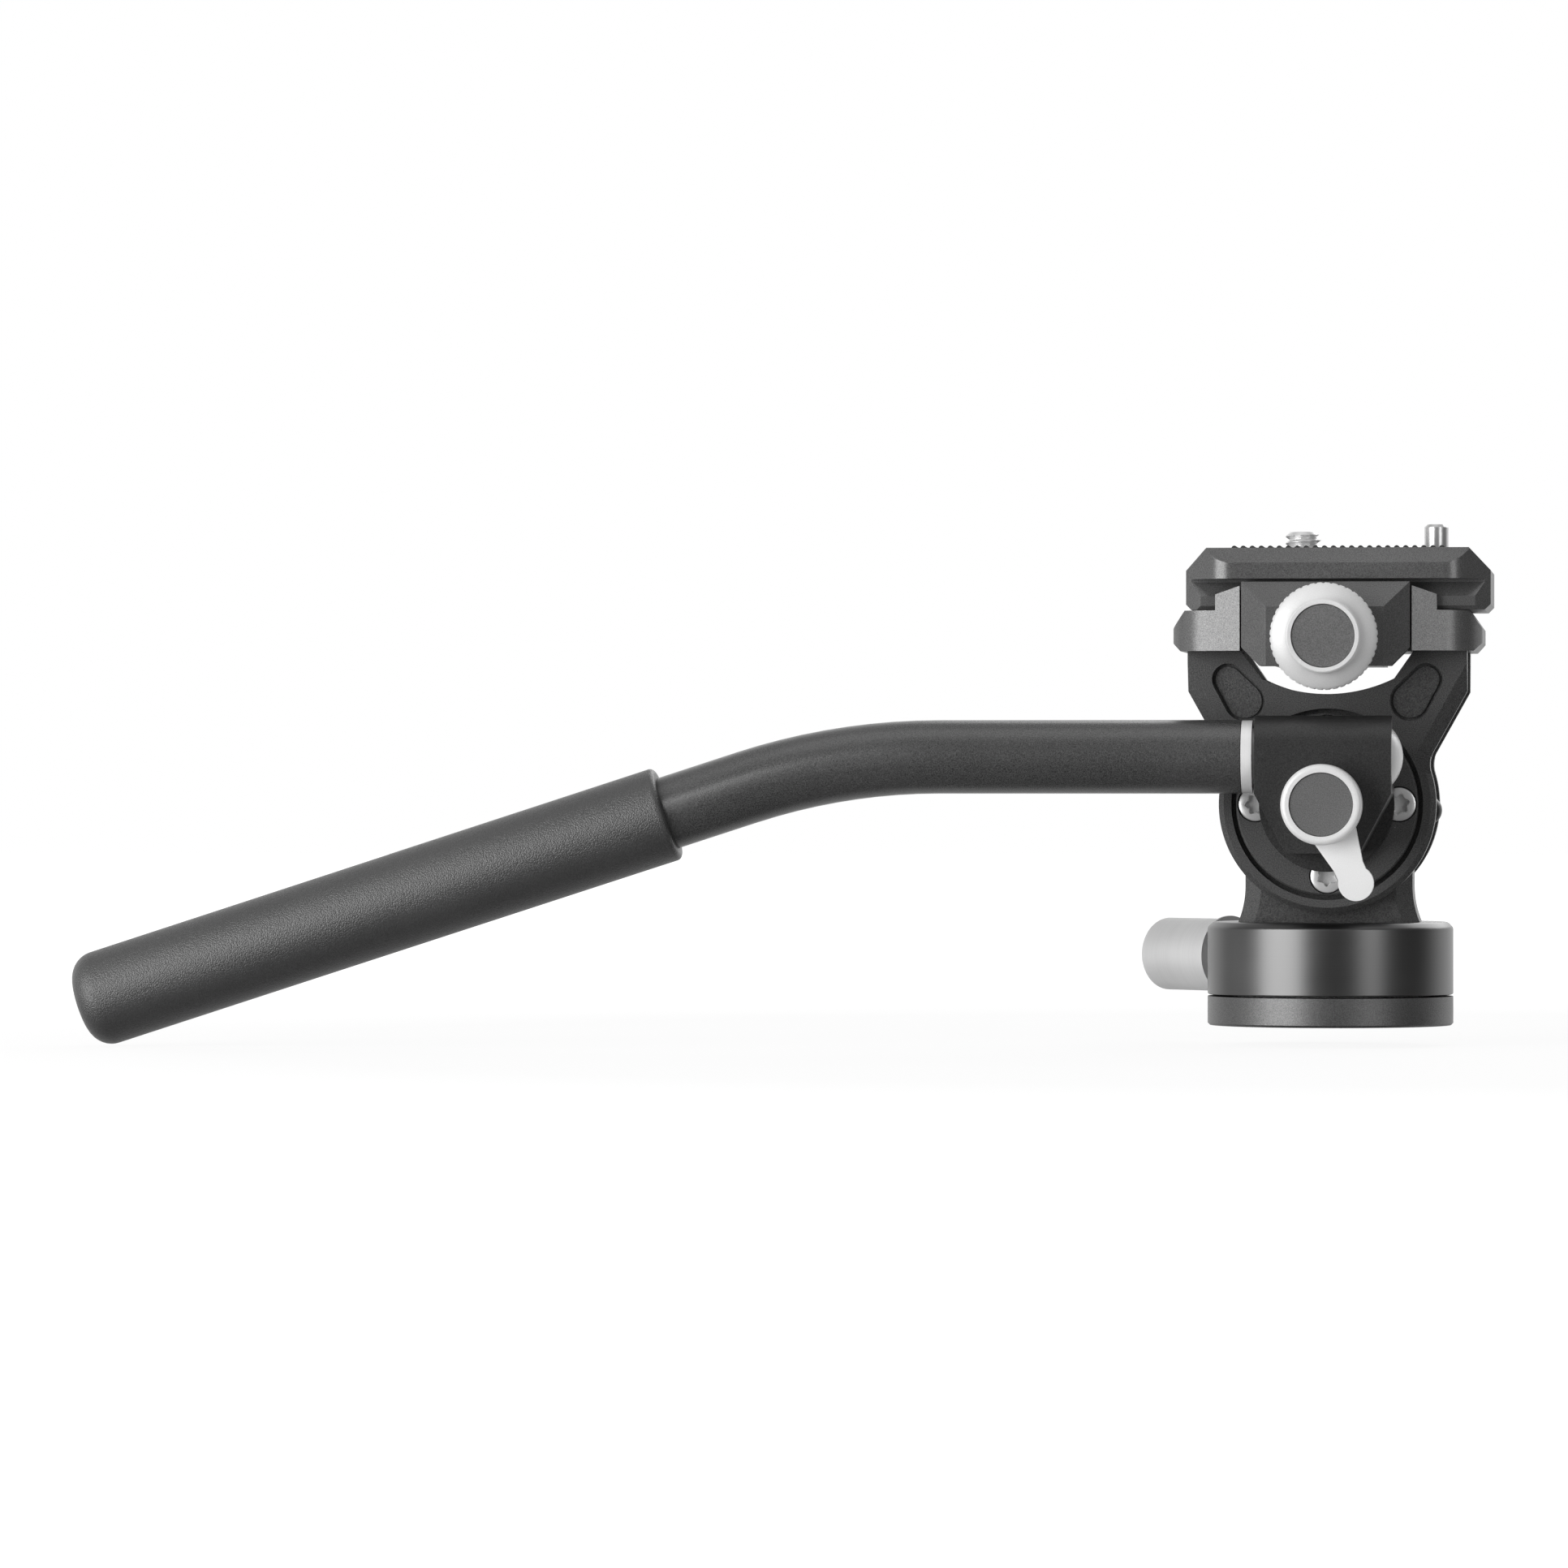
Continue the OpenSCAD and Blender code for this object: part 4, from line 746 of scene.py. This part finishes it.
washer_plastic = new_finish(
    "slippery_plastic", blasted_grain, grain(0.66, 0.06, 0.42, 1800.0), 0.00001
)
plug_plastic = new_finish(
    "black_plug_plastic", blasted_grain, grain(0.012, 0.15, 0.36, 2400.0), 0.000008
)
print("rubbers:", [finish.name for finish in (grip_rubber, pad_rubber, seal_rubber)])

# %% [markdown]
# ## Dress the solids
# The imported record names a material slot for every solid, so the finishes are handed out by
# slot. A few turned pieces share a slot but not an axis; those are named one by one. So are the
# blasted base plate, the handle block, which gets a darker copy of the black as painted shade,
# and the lever, which gets a lighter copy of the silver as painted light.

# %% Hand out the finishes
SLOT_FINISH = {
    "black_metal": black_metal,
    "grey_metal": grey_metal,
    "plate_metal": plate_metal,
    "silver_metal": silver_metal,
    "lock_metal": pan_lock_metal,
    "insert_metal": insert_metal,
    "steel": steel,
    "dark_steel": dark_steel,
    "tube_metal": tube_metal,
    "grip_rubber": grip_rubber,
    "pad_rubber": pad_rubber,
    "seal_rubber": seal_rubber,
    "bush_bronze": bush_bronze,
    "washer_plastic": washer_plastic,
    "plug_plastic": plug_plastic,
}
OWN_FINISH = {
    "base_plate": base_metal,
    # painted shade: the block's darker copy of the black
    "handle_block": painted_shade_block_metal,
    # painted light: the lever's lighter copy of the silver
    "handle_lever": painted_light_lever_metal,
    "handle_spigot": spigot_metal,
    "tilt_lock_knob": tilt_lock_metal,
}
slot_of = {part["node"]: part["material_slot"] for part in frame["record"]["subparts"]}
for node, solid in frame["nodes"].items():
    solid.data.materials.clear()
    solid.data.materials.append(OWN_FINISH.get(node, SLOT_FINISH[slot_of[node]]))
print("solids dressed:", len(slot_of))

# %% [markdown]
# ## Broken edges
# No milled edge is perfectly sharp: it is broken with a file or a small cutter, and in the
# picture those thin facets draw every outline as a pale line. A bevel modifier adds them
# without touching the solid's own mesh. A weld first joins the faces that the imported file
# stores apart, because a bevel needs to know which faces meet. The bevel's narrow facets would
# pull the shading of the broad faces with them, so a last modifier lets broad faces weigh more.

# %% Break the edges of the milled pieces
EDGE_WIDTH = {
    "base_plate": 0.0003,
    "pan_housing": 0.0003,
    "stand": 0.00025,
    "cheek_near": 0.00022,
    "cheek_far": 0.00022,
    "hub_cap_near": 0.0002,
    "hub_cap_far": 0.0002,
    "platform": 0.00025,
    "clamp_jaw": 0.00025,
    "quick_plate": 0.00028,
    "handle_block": 0.00022,
    "handle_lever": 0.00022,
    "clamp_knob": 0.00015,
    "handle_spigot": 0.00015,
    "pan_lock_knob": 0.0003,
    "tilt_lock_knob": 0.0003,
}
WELD_GAP = 0.000002
EDGE_SEGMENTS = 2
EDGE_ANGLE = math.radians(32.0)

for node, width in EDGE_WIDTH.items():
    solid = frame["nodes"][node]
    seam = solid.modifiers.new("join_faces", "WELD")
    seam.merge_threshold = WELD_GAP
    edge = solid.modifiers.new("broken_edge", "BEVEL")
    edge.width = width
    edge.segments = EDGE_SEGMENTS
    edge.limit_method = "ANGLE"
    edge.angle_limit = EDGE_ANGLE
    even_shade = solid.modifiers.new("even_shade", "WEIGHTED_NORMAL")
    even_shade.mode = "FACE_AREA_WITH_ANGLE"
    even_shade.keep_sharp = True
print("edges broken on", len(EDGE_WIDTH), "solids")

# %% [markdown]
# ## Round pieces from rows of points
# The screws and the camera stud need forms that lathe solids lack: a six-lobed socket and a
# thread. Both are made as rows of points round an axis, one row above the other, with a skin
# of four-sided faces between them. Where a row's distance from the axis changes with the
# angle, the piece gets its lobes or its thread.

# %% Helpers for rows and skins
AROUND = 72


def row_of_points(mesh, height, distance):
    """A closed row round Z; distance is a function of the angle."""
    row = []
    for step in range(AROUND):
        angle = 2 * math.pi * step / AROUND
        reach = distance(angle)
        row.append(mesh.verts.new((reach * math.cos(angle), reach * math.sin(angle), height)))
    return row


def skin_rows(mesh, rows):
    """Faces between neighbouring rows, and a fan that closes each end."""
    for lower, upper in zip(rows, rows[1:]):
        for step in range(AROUND):
            after = (step + 1) % AROUND
            mesh.faces.new((lower[step], lower[after], upper[after], upper[step]))
    for row, outward in ((rows[0], False), (rows[-1], True)):
        hub = sum((point.co for point in row), Vector()) / AROUND
        centre = mesh.verts.new(hub)
        for step in range(AROUND):
            after = (step + 1) % AROUND
            corners = (row[step], row[after], centre)
            mesh.faces.new(corners if outward else corners[::-1])


def even(distance):
    """A round row."""
    return lambda angle: distance


def finished_piece(name, mesh, finish, body, smooth_below=40.0):
    """Turns rows and skins into a piece that moves with its body."""
    bmesh.ops.recalc_face_normals(mesh, faces=mesh.faces)
    data = bpy.data.meshes.new(name)
    mesh.to_mesh(data)
    mesh.free()
    data.materials.append(finish)
    data.shade_smooth()
    data.set_sharp_from_angle(angle=math.radians(smooth_below))
    piece = bpy.data.objects.new(name, data)
    bpy.context.collection.objects.link(piece)
    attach(piece, body)
    return piece


print("points in a row:", AROUND)

# %% [markdown]
# ## Hub screws
# Each hub cap is held by four bright cap screws with a flat head, sunk in a bore so that a dark
# ring shows round them. The six-lobed socket is a wave of six crests on a circle, which is
# close to the real broached form. The head keeps the place and size of the solid it stands for.

# %% Make the hub screws with their sockets
SCREW_CIRCLE = 0.01275
HEAD_R = 0.00305
HEAD_H = 0.0017
SHANK_R = 0.0013
SOCKET_R = 0.00162
SOCKET_WAVE = 0.00023
SOCKET_DEPTH = 0.0013
SOCKET_FLOOR_R = 0.0006
SOCKET_CONE = 0.0001
SOCKET_DRAFT = 0.00005
CHAMFER = 0.00012
SOFT_RIM = 0.0004
FIRST_TURN = 17.0
NEXT_TURN = 23.0


def six_lobes(distance, wave):
    """A row with six rounded crests."""
    return lambda angle: distance + wave * math.cos(6 * angle)


def add_screw(mesh, length, place):
    """One screw with its face at height 0 of its own axis, then moved to its place."""
    own = bmesh.new()
    rows = [
        row_of_points(own, -length, even(SHANK_R)),
        row_of_points(own, -HEAD_H, even(SHANK_R)),
        row_of_points(own, -HEAD_H, even(HEAD_R)),
        row_of_points(own, -SOFT_RIM, even(HEAD_R)),
        row_of_points(own, -CHAMFER, even(HEAD_R - CHAMFER)),
        row_of_points(own, 0.0, even(HEAD_R - SOFT_RIM)),
        row_of_points(own, 0.0, six_lobes(SOCKET_R + CHAMFER, SOCKET_WAVE)),
        row_of_points(own, -CHAMFER, six_lobes(SOCKET_R, SOCKET_WAVE)),
        row_of_points(own, -SOCKET_DEPTH, six_lobes(SOCKET_R - SOCKET_DRAFT, SOCKET_WAVE)),
        row_of_points(own, -SOCKET_DEPTH - SOCKET_CONE, even(SOCKET_FLOOR_R)),
    ]
    skin_rows(own, rows)
    own.transform(place)
    spare = bpy.data.meshes.new("screw_rows")
    own.to_mesh(spare)
    own.free()
    mesh.from_mesh(spare)
    bpy.data.meshes.remove(spare)


def make_hub_screws(side, sign):
    """The four screws of one hub cap; sign is -1 on the handle side."""
    node = "hub_screws_" + side
    low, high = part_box(node)
    face = sign * max(abs(low[1]), abs(high[1]))
    length = high[1] - low[1]
    turn_out = Vector((0.0, 0.0, 1.0)).rotation_difference(Vector((0.0, sign, 0.0)))
    outward = turn_out.to_matrix().to_4x4()
    mesh = bmesh.new()
    for quarter in range(4):
        angle = quarter * math.pi / 2
        right = SCREW_CIRCLE * math.cos(angle)
        up = TILT_AXIS_Z + SCREW_CIRCLE * math.sin(angle)
        drawn = Matrix.Rotation(math.radians(FIRST_TURN + NEXT_TURN * quarter), 4, "Z")
        add_screw(mesh, length, Matrix.Translation((right, face, up)) @ outward @ drawn)
    piece = finished_piece("lobed_" + node, mesh, plated_steel, "tilt")
    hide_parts(node)
    return piece


near_screws = make_hub_screws("near", -1)
far_screws = make_hub_screws("far", 1)
print("hub screws:", near_screws.name, far_screws.name, "faces", len(near_screws.data.polygons))

# %% [markdown]
# ## The camera stud
# The stud is a quarter-inch camera screw: twenty threads to the inch on a smooth shoulder, with
# a broad slotted head under the plate. A thread is a rise of the surface that climbs one pitch
# per turn, so each row's distance is a triangle wave of height and angle together. The top
# rows are held under a cone, which is the lead-in that finds the camera's socket.

# %% Make the stud with its thread
PITCH = 0.0254 / 20
THREAD_R = 0.00317
THREAD_DEPTH = 0.00068
THREAD_H = 0.0034
CREST_FLAT = 0.12
TIP_INSET = 0.0007
SHOULDER_R = 0.00397
SHOULDER_BREAK = 0.0002
STUD_HEAD_H = 0.0025
HEAD_BREAK = 0.0003
ROWS_PER_PITCH = 18

stud_low, stud_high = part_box("camera_screw")
stud_x, stud_y, _ = middle_of("camera_screw")
head_r = (stud_high[0] - stud_low[0]) / 2
stud_top = stud_high[2]
thread_foot = stud_top - THREAD_H
head_foot = stud_low[2]
head_top = head_foot + STUD_HEAD_H


def thread_at(height):
    """The distance of the thread from the axis at one height, as a function of the angle."""

    def distance(angle):
        turn = (height / PITCH - angle / (2 * math.pi)) % 1.0
        crest = 1.0 - abs(2.0 * turn - 1.0)
        shaped = min(1.0, max(0.0, (crest - CREST_FLAT) / (1.0 - 2.0 * CREST_FLAT)))
        threaded = THREAD_R - THREAD_DEPTH * (1.0 - shaped)
        cone = THREAD_R - TIP_INSET + (stud_top - height)
        return min(threaded, cone)

    return distance


mesh = bmesh.new()
rows = [
    row_of_points(mesh, head_foot, even(head_r - HEAD_BREAK)),
    row_of_points(mesh, head_foot + HEAD_BREAK, even(head_r)),
    row_of_points(mesh, head_top - HEAD_BREAK, even(head_r)),
    row_of_points(mesh, head_top, even(head_r - HEAD_BREAK)),
    row_of_points(mesh, head_top, even(SHOULDER_R)),
    row_of_points(mesh, thread_foot - SHOULDER_BREAK, even(SHOULDER_R)),
    row_of_points(mesh, thread_foot, even(SHOULDER_R - SHOULDER_BREAK)),
    row_of_points(mesh, thread_foot, even(THREAD_R - THREAD_DEPTH)),
]
row_count = round((stud_top - thread_foot) / PITCH * ROWS_PER_PITCH)
for step in range(1, row_count + 1):
    height = thread_foot + (stud_top - thread_foot) * step / row_count
    rows.append(row_of_points(mesh, height, thread_at(height)))
skin_rows(mesh, rows)
mesh.transform(Matrix.Translation((stud_x, stud_y, 0.0)))
camera_stud = finished_piece("threaded_camera_stud", mesh, plated_steel, "stud", 50.0)
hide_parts("camera_screw")
print("thread rows:", row_count, "stud top Z", round(stud_top * 1000, 2), "mm")

# %% [markdown]
# ## The pin's spring
# A coil spring under the video pin lets it sink when a camera has no hole for it. The coil is a
# wire carried along a helix, made as one tube.

# %% Wind the spring
WIRE_R = 0.0002
COILS = 5
STEPS_PER_COIL = 28
WIRE_SIDES = 8

spring_low, spring_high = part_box("pin_spring")
spring_x, spring_y, _ = middle_of("pin_spring")
helix_r = (spring_high[0] - spring_low[0]) / 2 - WIRE_R
helix_foot = spring_low[2] + WIRE_R
helix_rise = spring_high[2] - spring_low[2] - 2 * WIRE_R
all_steps = COILS * STEPS_PER_COIL

mesh = bmesh.new()
loops = []
for step in range(all_steps + 1):
    angle = 2 * math.pi * step / STEPS_PER_COIL
    out = Vector((math.cos(angle), math.sin(angle), 0.0))
    up = Vector((0.0, 0.0, 1.0))
    middle = out * helix_r + up * (helix_foot + helix_rise * step / all_steps)
    loop = []
    for side in range(WIRE_SIDES):
        turn = 2 * math.pi * side / WIRE_SIDES
        rim = out * math.cos(turn) + up * math.sin(turn)
        loop.append(mesh.verts.new(middle + WIRE_R * rim))
    loops.append(loop)
for first, second in zip(loops, loops[1:]):
    for side in range(WIRE_SIDES):
        after = (side + 1) % WIRE_SIDES
        mesh.faces.new((first[side], first[after], second[after], second[side]))
mesh.faces.new(loops[0])
mesh.faces.new(loops[-1][::-1])
mesh.transform(Matrix.Translation((spring_x, spring_y, 0.0)))
coil = finished_piece("wound_pin_spring", mesh, steel, "plate")
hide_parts("pin_spring")
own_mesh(coil)
print("spring length, mm:", round((spring_high[2] - spring_low[2]) * 1000, 2))
